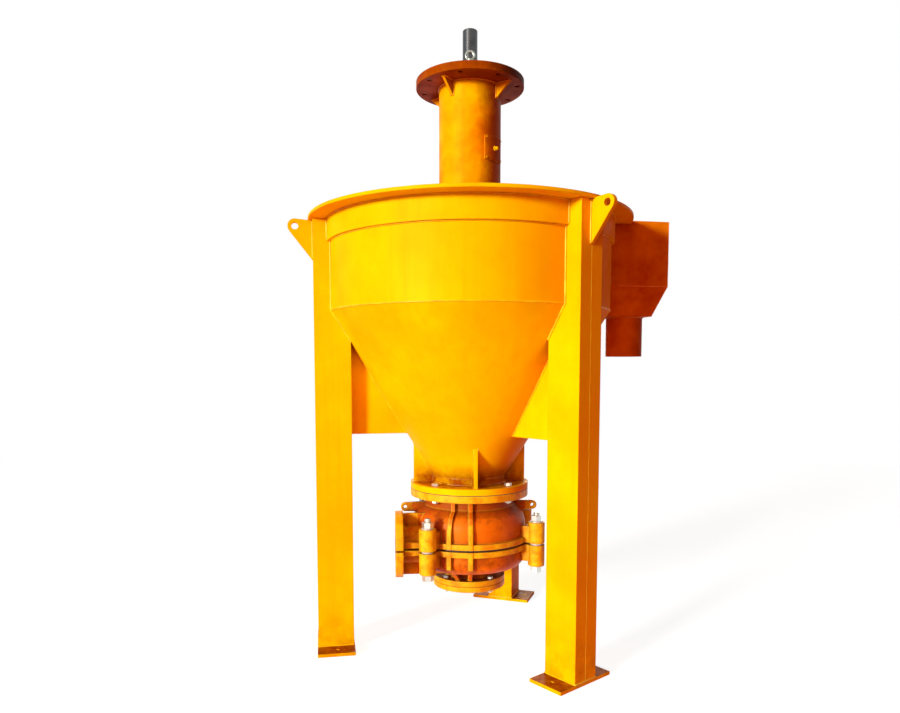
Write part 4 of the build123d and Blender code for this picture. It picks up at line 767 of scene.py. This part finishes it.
def make_materials():
    """Every finish, by name."""
    settings = bpy.context.scene.pump_settings
    dirt_and_shade, box, column = settings.dirt_and_shade_colour, settings.box_shaded_colour, settings.column_shaded_colour
    groups = {"edge": edge_group(), "paint": paint_group(), "casting": casting_group(),
              "grime": grime_group(), "corner_shade": corner_shade_group(), "flange": flange_shade_group(),
              "shade_masks": side_and_ledge_shade_group(), "gloss": gloss_group()}
    made = (
        tank_paint("tank_paint", groups, dirt_and_shade, settings.tank_colour, settings.tank_shade),
        # The overflow box and pipe, the column and the top flange get darker copies of the paint as painted
        # shade
        tank_paint("overflow_shaded_paint", groups, dirt_and_shade, box, (0.52, 0.09, 0.0), EDGE_HIGHLIGHT_TONE, wear=0.4,
                   shine=0.04, lee=(0.28, 0.04, 0.0), shaded_side_share=0.6, ragged=0.6, cloud=10.0),
        tank_paint("column_shaded_paint", groups, dirt_and_shade, column, (0.95, 0.2, 0.0), EDGE_HIGHLIGHT_TONE, wear=0.6,
                   lee=(0.36, 0.05, 0.0), shaded_side_share=0.9, ragged=0.9, cloud=6.5),
        tank_paint("head_shaded_paint", groups, dirt_and_shade, settings.head_shaded_colour, (0.2, 0.025, 0.0), (0.9, 0.3, 0.01),
                   shine=0.04, lee=(0.07, 0.01, 0.0), shaded_side_share=0.95, ragged=0.6, cloud=9.0),
        # The feet get painted highlight on all their edges and painted shade on their tops
        tank_paint("foot_paint", groups, dirt_and_shade, settings.tank_colour, settings.tank_shade, wear=1.0,
                   cloud=9.0, ledge=0.95),
        # The column's welds get the column's darker copy of the paint as painted shade
        weld_paint("column_weld_shaded_paint", groups, dirt_and_shade, column, (0.95, 0.3, 0.0)),
        # The casing spacers get a lighter, less metallic copy of the zinc as painted highlight
        metal_finish("spacer_lit_zinc", groups, (0.78, 0.79, 0.74), (0.5, 0.52, 0.47), 0.35, 60.0, 0.2, 0.25),
        weld_paint("weld_paint", groups, dirt_and_shade, settings.tank_colour, settings.tank_shade),
        # The overflow's welds get the box's darker copy of the paint as painted shade
        weld_paint("overflow_weld_shaded_paint", groups, dirt_and_shade, box, (0.7, 0.17, 0.0)),
        casing_paint(groups, dirt_and_shade, settings.casing_colour),
        metal_finish("bare_iron", groups, (0.2, 0.2, 0.21), (0.1, 0.09, 0.085), 0.5, 30.0, 0.5, 0.7),
        metal_finish("zinc_plate", groups, (0.46, 0.48, 0.42), (0.18, 0.19, 0.16), 0.32, 60.0),
        turned_steel(groups),
        metal_finish("brass", groups, (0.72, 0.5, 0.2), (0.45, 0.3, 0.11), 0.32, 40.0),
        black_rubber(groups),
    )
    # The frame brings plain materials under the slots' names, so Blender numbers those made here
    return {finish.name.split(".")[0]: finish for finish in made}


def material(name):
    """The material of this exact name: a paint made here, or the frame's own plain one of a slot."""
    return bpy.data.materials[name]


OWN_FINISH = {
    "overflow_box": "overflow_shaded_paint", "overflow_pipe": "overflow_shaded_paint", "column_tube": "column_shaded_paint",
    "inspection_cover": "column_shaded_paint", "top_gussets": "column_shaded_paint", "top_flange": "head_shaded_paint",
    "foot_plates": "foot_paint", "casing_washers": "spacer_lit_zinc",
}


class FROTH_OT_finishes(bpy.types.Operator):
    """Give every CAD piece the procedural material of its slot"""
    bl_idname = "froth.finishes"
    bl_label = "Finishes"

    def execute(self, context):
        made = make_materials()
        slots = {row["node"]: row["material_slot"] for row in frame["record"]["subparts"]}
        for node, piece in frame["nodes"].items():
            piece.data.materials.clear()
            piece.data.materials.append(made[OWN_FINISH.get(node, slots[node])])
        return {"FINISHED"}


class FROTH_OT_tank_welds(bpy.types.Operator):
    """Beads round the shell, the band, the rim, the neck and the fins"""
    bl_idname = "froth.tank_welds"
    bl_label = "Tank welds"

    def execute(self, context):
        beads = [
            bead(ring(SHELL_RADIUS + RING_LIFT, BAND_BOTTOM - RING_LIFT), 0.75, 11),
            bead(ring(SHELL_RADIUS - SEAM_SINK, CONE_TOP), 0.85, 12),
            bead(ring(BAND_RADIUS + RING_LIFT, RIM_UNDER - RING_LIFT), 0.8, 13),
            bead(ring(NECK_RADIUS + RING_LIFT, FLANGE_TOP + RING_LIFT), 1.1, 14),
            bead(ring(NECK_RADIUS - SEAM_SINK, CONE_FOOT), 0.8, 15),
        ]
        foot, inner = FLANGE_TOP + LIFT, NECK_RADIUS + LIFT
        top = CONE_FOOT + (FIN_REACH - NECK_RADIUS) / CONE_SLOPE
        for k in range(4):
            for side in (1, -1):
                y = side * (FIN_HALF + LIFT)
                path = run([(FIN_REACH - END_GAP, y, foot), (inner, y, foot), (inner, y, CONE_FOOT),
                            (FIN_REACH, y, top)])
                beads.append(bead(turned(path, PUMP_TURN + 90 * k), 0.8, 20 + 2 * k + side))
        put_mesh("tank_welds", beads, material("weld_paint"))
        return {"FINISHED"}


class FROTH_OT_leg_welds(bpy.types.Operator):
    """Beads between legs, tank, gussets, lugs and feet, and the seams of the box legs"""
    bl_idname = "froth.leg_welds"
    bl_label = "Leg welds"

    def execute(self, context):
        meet = CONE_FOOT + (LEG_INNER - NECK_RADIUS) / CONE_SLOPE
        tip = NECK_RADIUS + (GUSSET_BOTTOM - CONE_FOOT) * CONE_SLOPE
        leg, back = LEG_INNER - LIFT, LEG_OUTER + LIFT
        height = np.r_[np.linspace(meet, BAND_BOTTOM - LIFT, 60), np.linspace(BAND_BOTTOM, RIM_UNDER, 12)]
        corners = ((LEG_OUTER, LEG_HALF), (LEG_OUTER, -LEG_HALF), (LEG_INNER, -LEG_HALF),
                   (LEG_INNER, LEG_HALF), (LEG_OUTER, LEG_HALF))
        foot = run([(x, y, FOOT_TOP + LIFT) for x, y in corners])
        beads, seams = [], []
        for k, angle in enumerate(LEG_ANGLES):
            for side in (1, -1):
                y = side * (LEG_HALF + LIFT)
                out = np.sqrt(cone_radius(height) ** 2 - y * y) + LIFT
                tank = run(np.stack([out, np.full(len(height), y), height], axis=1))
                y = side * (GUSSET_HALF + LIFT)
                gusset = run([(tip + LIFT, y, GUSSET_BOTTOM), (LEG_INNER + LIFT, y, meet),
                              (leg, y, meet - END_GAP), (leg, y, GUSSET_BOTTOM)])
                y = side * (LUG_HALF + LIFT)
                lug = run([(back, y, LUG_BOTTOM + END_GAP / 2), (back, y, RIM_UNDER - END_GAP / 2)])
                for path, size, seed in ((tank, 1.15, 40), (gusset, 0.8, 50), (lug, 0.9, 60)):
                    beads.append(bead(turned(path, angle), size, seed + 2 * k + side))
            beads.append(bead(turned(foot, angle), 1.0, 70 + k))
            for out, top in ((LEG_OUTER - CORNER_SINK, RIM_UNDER - END_GAP),
                             (LEG_INNER + CORNER_SINK, meet - 5 * END_GAP)):
                path = run([(out, 0.0, FOOT_TOP + END_GAP), (out, 0.0, top)])
                seams.append(bead(turned(path, angle), 0.42, 80 + k))
        put_mesh("leg_welds", beads, material("weld_paint"))
        put_mesh("leg_seams", seams, material("weld_paint"))
        return {"FINISHED"}


class FROTH_OT_box_welds(bpy.types.Operator):
    """Beads along the overflow box, its chute and its pipe"""
    bl_idname = "froth.box_welds"
    bl_label = "Overflow welds"

    def execute(self, context):
        edge = BOX_OUTER - CORNER_SINK
        beads = []
        for side in (1, -1):
            y = side * (BOX_HALF + LIFT)
            shell = math.sqrt(SHELL_RADIUS ** 2 - y * y) + LIFT
            band = math.sqrt(BAND_RADIUS ** 2 - y * y) + LIFT
            path = run([(shell, y, BOX_BOTTOM), (shell, y, BAND_BOTTOM), (band, y, BAND_BOTTOM + END_GAP),
                        (band, y, RIM_UNDER)])
            beads.append(bead(path, 1.0, 90 + side))
            corner, foot = side * (BOX_HALF - CORNER_SINK), side * (CHUTE_HALF - CORNER_SINK)
            path = run([(edge, corner, BOX_TOP - 0.003), (edge, corner, BOX_BOTTOM),
                        (CHUTE_REACH - CORNER_SINK, foot, CHUTE_BOTTOM)])
            beads.append(bead(path, 0.6, 93 + side))
        near, far, half = SHELL_RADIUS + 0.01, BOX_OUTER - LIFT, BOX_HALF - LIFT
        fold = run([(near, half, BOX_BOTTOM), (far, half, BOX_BOTTOM), (far, -half, BOX_BOTTOM),
                    (near, -half, BOX_BOTTOM)])
        beads.append(bead(fold, 0.5, 96))
        around = ring(PIPE_RADIUS + RING_LIFT, CHUTE_BOTTOM - LIFT) + np.array((PIPE_CENTRE, 0, 0))
        beads.append(bead(around, 0.95, 97))
        put_mesh("overflow_welds", beads, material("overflow_weld_shaded_paint"))
        return {"FINISHED"}


class FROTH_OT_column_welds(bpy.types.Operator):
    """Beads at both ends of the column and along its gussets"""
    bl_idname = "froth.column_welds"
    bl_label = "Column welds"

    def execute(self, context):
        wall, head, base = COLUMN_RADIUS + LIFT, COLUMN_TOP - LIFT, COLUMN_BOTTOM + LIFT
        beads = [bead(ring(wall, head), 1.0, 100), bead(ring(wall, base), 1.0, 101)]
        for k in range(4):
            for side in (1, -1):
                y = side * COLUMN_GUSSET_HALF
                top = run([(wall, y, COLUMN_TOP - HEAD_BEAD[1]), (wall, y, head),
                           (COLUMN_RADIUS + HEAD_BEAD[0], y, head)])
                beads.append(bead(turned(top, 45 + 90 * k), 0.75, 110 + 2 * k + side))
                foot = run([(wall, y, COLUMN_BOTTOM + BASE_BEAD[1]), (wall, y, base),
                            (COLUMN_RADIUS + BASE_BEAD[0], y, base)])
                beads.append(bead(turned(foot, 90 * k), 0.75, 120 + 2 * k + side))
        put_mesh("column_welds", beads, material("column_weld_shaded_paint"))
        return {"FINISHED"}


def fasten(name, node, solids):
    """Zinc plated fasteners that stand for the plain ones of a CAD node."""
    made = put_mesh(name, solids, material("zinc_plate"), smooth=False)
    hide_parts(node)


class FROTH_OT_casing_fasteners(bpy.types.Operator):
    """Studs and nuts of the four casing bosses"""
    bl_idname = "froth.casing_fasteners"
    bl_label = "Casing studs and nuts"

    def execute(self, context):
        foot, tip = low("casing_studs", Z), high("casing_studs", Z)
        nut_foot, nut_top = low("casing_nuts", Z), high("casing_nuts", Z)
        studs, nuts = [], []
        for k, angle in enumerate(BOSS_ANGLES):
            x, y, _ = polar(BOSS_CIRCLE, angle + PUMP_TURN)
            turn = PUMP_TURN + 17.0 * k
            studs.append(moved(stud(STUD_RADIUS, foot, nut_top - 0.002, tip), x, y, turn))
            nuts.append(moved(nut(STUD_RADIUS, nut_top - STUD_NUT_HEIGHT, nut_top), x, y, turn))
            nuts.append(moved(nut(STUD_RADIUS, nut_foot, nut_foot + STUD_NUT_HEIGHT), x, y, turn + 9.0))
        fasten("boss_studs", "casing_studs", studs)
        fasten("boss_nuts", "casing_nuts", nuts)
        return {"FINISHED"}


def bolted_joint(bolt_node, nut_node, radius, places, bolt_turns, nut_turns):
    """Bolts and nuts at these places on the plan, each turned a little, for two CAD nodes."""
    tip, top = low(bolt_node, Z), high(bolt_node, Z)
    nut_foot, nut_top = low(nut_node, Z), high(nut_node, Z)
    bolts, nuts = [], []
    for (x, y), bolt_turn, nut_turn in zip(places, bolt_turns, nut_turns):
        bolts.append(moved(bolt(radius, tip, nut_foot + 0.003, top), x, y, bolt_turn))
        nuts.append(moved(nut(radius, nut_foot, nut_top), x, y, nut_turn))
    fasten(bolt_node + "_made", bolt_node, bolts)
    fasten(nut_node + "_made", nut_node, nuts)


class FROTH_OT_flange_fasteners(bpy.types.Operator):
    """Bolts and nuts of the tank flange and of the bottom cover"""
    bl_idname = "froth.flange_fasteners"
    bl_label = "Flange bolts and nuts"

    def execute(self, context):
        self.joint("tank_flange_bolts", "tank_flange_nuts", TANK_BOLT_RADIUS, TANK_BOLT_CIRCLE,
                   TANK_BOLT_TURN)
        self.joint("bottom_bolts", "bottom_nuts", COVER_BOLT_RADIUS, COVER_BOLT_CIRCLE, COVER_BOLT_TURN)
        return {"FINISHED"}

    @staticmethod
    def joint(bolt_node, nut_node, radius, circle, first):
        """Four bolts and nuts on a circle, from the first one's angle on."""
        angles = [PUMP_TURN + first + 90.0 * k for k in range(4)]
        bolted_joint(bolt_node, nut_node, radius, [polar(circle, angle)[:2] for angle in angles],
                     [angle + 11.0 * k for k, angle in enumerate(angles)],
                     [angle + 23.0 * k for k, angle in enumerate(angles)])


class FROTH_OT_column_fasteners(bpy.types.Operator):
    """Bolts of the column's base and of the bearing housing's collar"""
    bl_idname = "froth.column_fasteners"
    bl_label = "Column bolts"

    def execute(self, context):
        flat = HALF_FLATS * BASE_BOLT_RADIUS
        x = high("base_bolts", X) - flat / math.cos(math.pi / 6)
        y = high("base_bolts", Y) - flat
        turns = np.arange(4)
        bolted_joint("base_bolts", "base_nuts", BASE_BOLT_RADIUS, ((x, y), (-x, y), (-x, -y), (x, -y)),
                     19.0 * turns, 7.0 * turns)
        tip, top = low("housing_bolts", Z), high("housing_bolts", Z)
        screws = []
        for k in range(6):
            x, y, _ = polar(HOUSING_BOLT_CIRCLE, 60.0 * k)
            screws.append(moved(bolt(HOUSING_BOLT_RADIUS, tip, tip + 0.003, top), x, y, 13.0 * k))
        fasten("housing_bolts_made", "housing_bolts", screws)
        return {"FINISHED"}


def seen_rays(w):
    """1 for the rays that show a background: camera, mirror and clear glass."""
    path = w.node("ShaderNodeLightPath")
    seen = w.math("MAXIMUM", path.outputs["Is Camera Ray"], path.outputs["Is Glossy Ray"])
    return w.math("MAXIMUM", seen, path.outputs["Is Transmission Ray"])


class FROTH_OT_stage(bpy.types.Operator):
    """Floor, lamps, sky and camera"""
    bl_idname = "froth.stage"
    bl_label = "Stage"

    def execute(self, context):
        scene = context.scene
        settings = scene.stage_settings
        scene.view_settings.view_transform = "Standard"
        self.floor()
        strengths = (settings.key_strength, settings.fill_strength, settings.back_strength)
        for (name, lamp), strength in zip(LAMPS.items(), strengths):
            self.lamp(name, strength, *lamp)
        self.sky(scene, settings)
        self.camera(scene, settings)
        return {"FINISHED"}

    @staticmethod
    def floor():
        """A wide floor. Camera and mirror rays see it white where no shadow falls, and it melts into
        the white sky far away; other rays see it as warm card, which lights the undersides. From
        below it is clear, so that the feet and the pump can be seen from there."""
        size = FLOOR_HALF
        mesh = bpy.data.meshes.new("floor")
        corners = [(-size, -size, 0), (size, -size, 0), (size, size, 0), (-size, size, 0)]
        mesh.from_pydata(corners, [], [(0, 1, 2, 3)])
        piece = bpy.data.objects.new("floor", mesh)
        bpy.context.scene.collection.objects.link(piece)
        made = bpy.data.materials.new("floor_white")
        made.use_nodes = True
        w = Wires(made.node_tree)
        seen = seen_rays(w)
        place = w.node("ShaderNodeTexCoord").outputs["Object"]
        near = w.math("SUBTRACT", 1.0, w.span(w.measure("LENGTH", place), *FLOOR_FADE))
        principled = made.node_tree.nodes["Principled BSDF"]
        shader = principled.inputs
        tone = w.mix(seen, (1.0, 0.3, 0.08), (0.7, 0.7, 0.7))
        w.fill(shader["Base Color"], w.mix(near, (0.0, 0.0, 0.0), tone))
        w.fill(shader["Emission Color"], w.mix(near, (1.0, 1.0, 1.0), (0.72, 0.87, 0.9)))
        w.fill(shader["Emission Strength"], seen)
        shader["Roughness"].default_value = 1.0
        shader["Specular IOR Level"].default_value = 0.0
        under = w.node("ShaderNodeNewGeometry").outputs["Backfacing"]
        clear = w.node("ShaderNodeBsdfTransparent").outputs[0]
        both = w.node("ShaderNodeMixShader", {0: under, 1: principled.outputs[0], 2: clear})
        w.fill(made.node_tree.nodes["Material Output"].inputs["Surface"], both.outputs[0])
        piece.data.materials.append(made)

    @staticmethod
    def lamp(name, strength, azimuth, elevation, spread, colour):
        """A far soft lamp in this direction, in degrees; spread is how wide it looks."""
        light = bpy.data.lights.new(name, "SUN")
        light.color = colour
        light.energy = strength
        light.angle = math.radians(spread)
        piece = bpy.data.objects.new(name, light)
        piece.rotation_euler = (math.radians(90.0 - elevation), 0.0, math.radians(azimuth + 90.0))
        bpy.context.scene.collection.objects.link(piece)

    @staticmethod
    def sky(scene, settings):
        """Soft warm light all round, stronger on the side of the lamps; the camera and mirrors see
        plain white."""
        world = bpy.data.worlds.new("studio")
        world.use_nodes = True
        w = Wires(world.node_tree)
        background = world.node_tree.nodes["Background"]
        look = w.node("ShaderNodeTexCoord").outputs["Generated"]
        side = w.measure("DOT_PRODUCT", look, tuple(polar(1.0, BRIGHT_SIDE)))
        soft = w.mix(w.span(side, -0.3, 0.9), settings.dark_sky, settings.bright_sky)
        w.fill(background.inputs["Color"], w.mix(seen_rays(w), soft, (1.0, 1.0, 1.0)))
        scene.world = world

    @staticmethod
    def camera(scene, settings):
        """The photograph's viewpoint: a wide lens at half the height of the unit, tipped down a little."""
        data = bpy.data.cameras.new("camera")
        data.sensor_width = 36.0
        data.lens = LENS
        data.shift_y = LENS_SHIFT
        data.clip_end = 100.0
        piece = bpy.data.objects.new("camera", data)
        azimuth = settings.camera_azimuth
        piece.location = (settings.camera_distance * math.cos(azimuth),
                          settings.camera_distance * math.sin(azimuth), settings.camera_height)
        piece.rotation_euler = (math.pi / 2 - CAMERA_PITCH, 0.0, azimuth + math.pi / 2 + CAMERA_HEADING)
        scene.collection.objects.link(piece)
        scene.camera = piece


class FROTH_PT_panel(bpy.types.Panel):
    """Sidebar panel with every step"""
    bl_idname = "FROTH_PT_panel"
    bl_label = "Froth pump"
    bl_space_type = "VIEW_3D"
    bl_region_type = "UI"
    bl_category = "Froth pump"

    def draw(self, context):
        for settings in (context.scene.pump_settings, context.scene.stage_settings):
            for name in settings.__annotations__:
                self.layout.prop(settings, name)
        for operator in OPERATORS:
            self.layout.operator(operator.bl_idname)


OPERATORS = (FROTH_OT_finishes, FROTH_OT_tank_welds, FROTH_OT_leg_welds, FROTH_OT_box_welds,
             FROTH_OT_column_welds, FROTH_OT_casing_fasteners, FROTH_OT_flange_fasteners,
             FROTH_OT_column_fasteners, FROTH_OT_stage)
CLASSES = (PumpSettings, StageSettings, *OPERATORS, FROTH_PT_panel)


def register():
    for kind in CLASSES:
        bpy.utils.register_class(kind)
    bpy.types.Scene.pump_settings = PointerProperty(type=PumpSettings)
    bpy.types.Scene.stage_settings = PointerProperty(type=StageSettings)


def unregister():
    del bpy.types.Scene.stage_settings
    del bpy.types.Scene.pump_settings
    for kind in reversed(CLASSES):
        bpy.utils.unregister_class(kind)


def main():
    register()
    for operator in OPERATORS:
        getattr(bpy.ops.froth, operator.bl_idname.split(".")[1])()


if __name__ == "__main__":
    main()
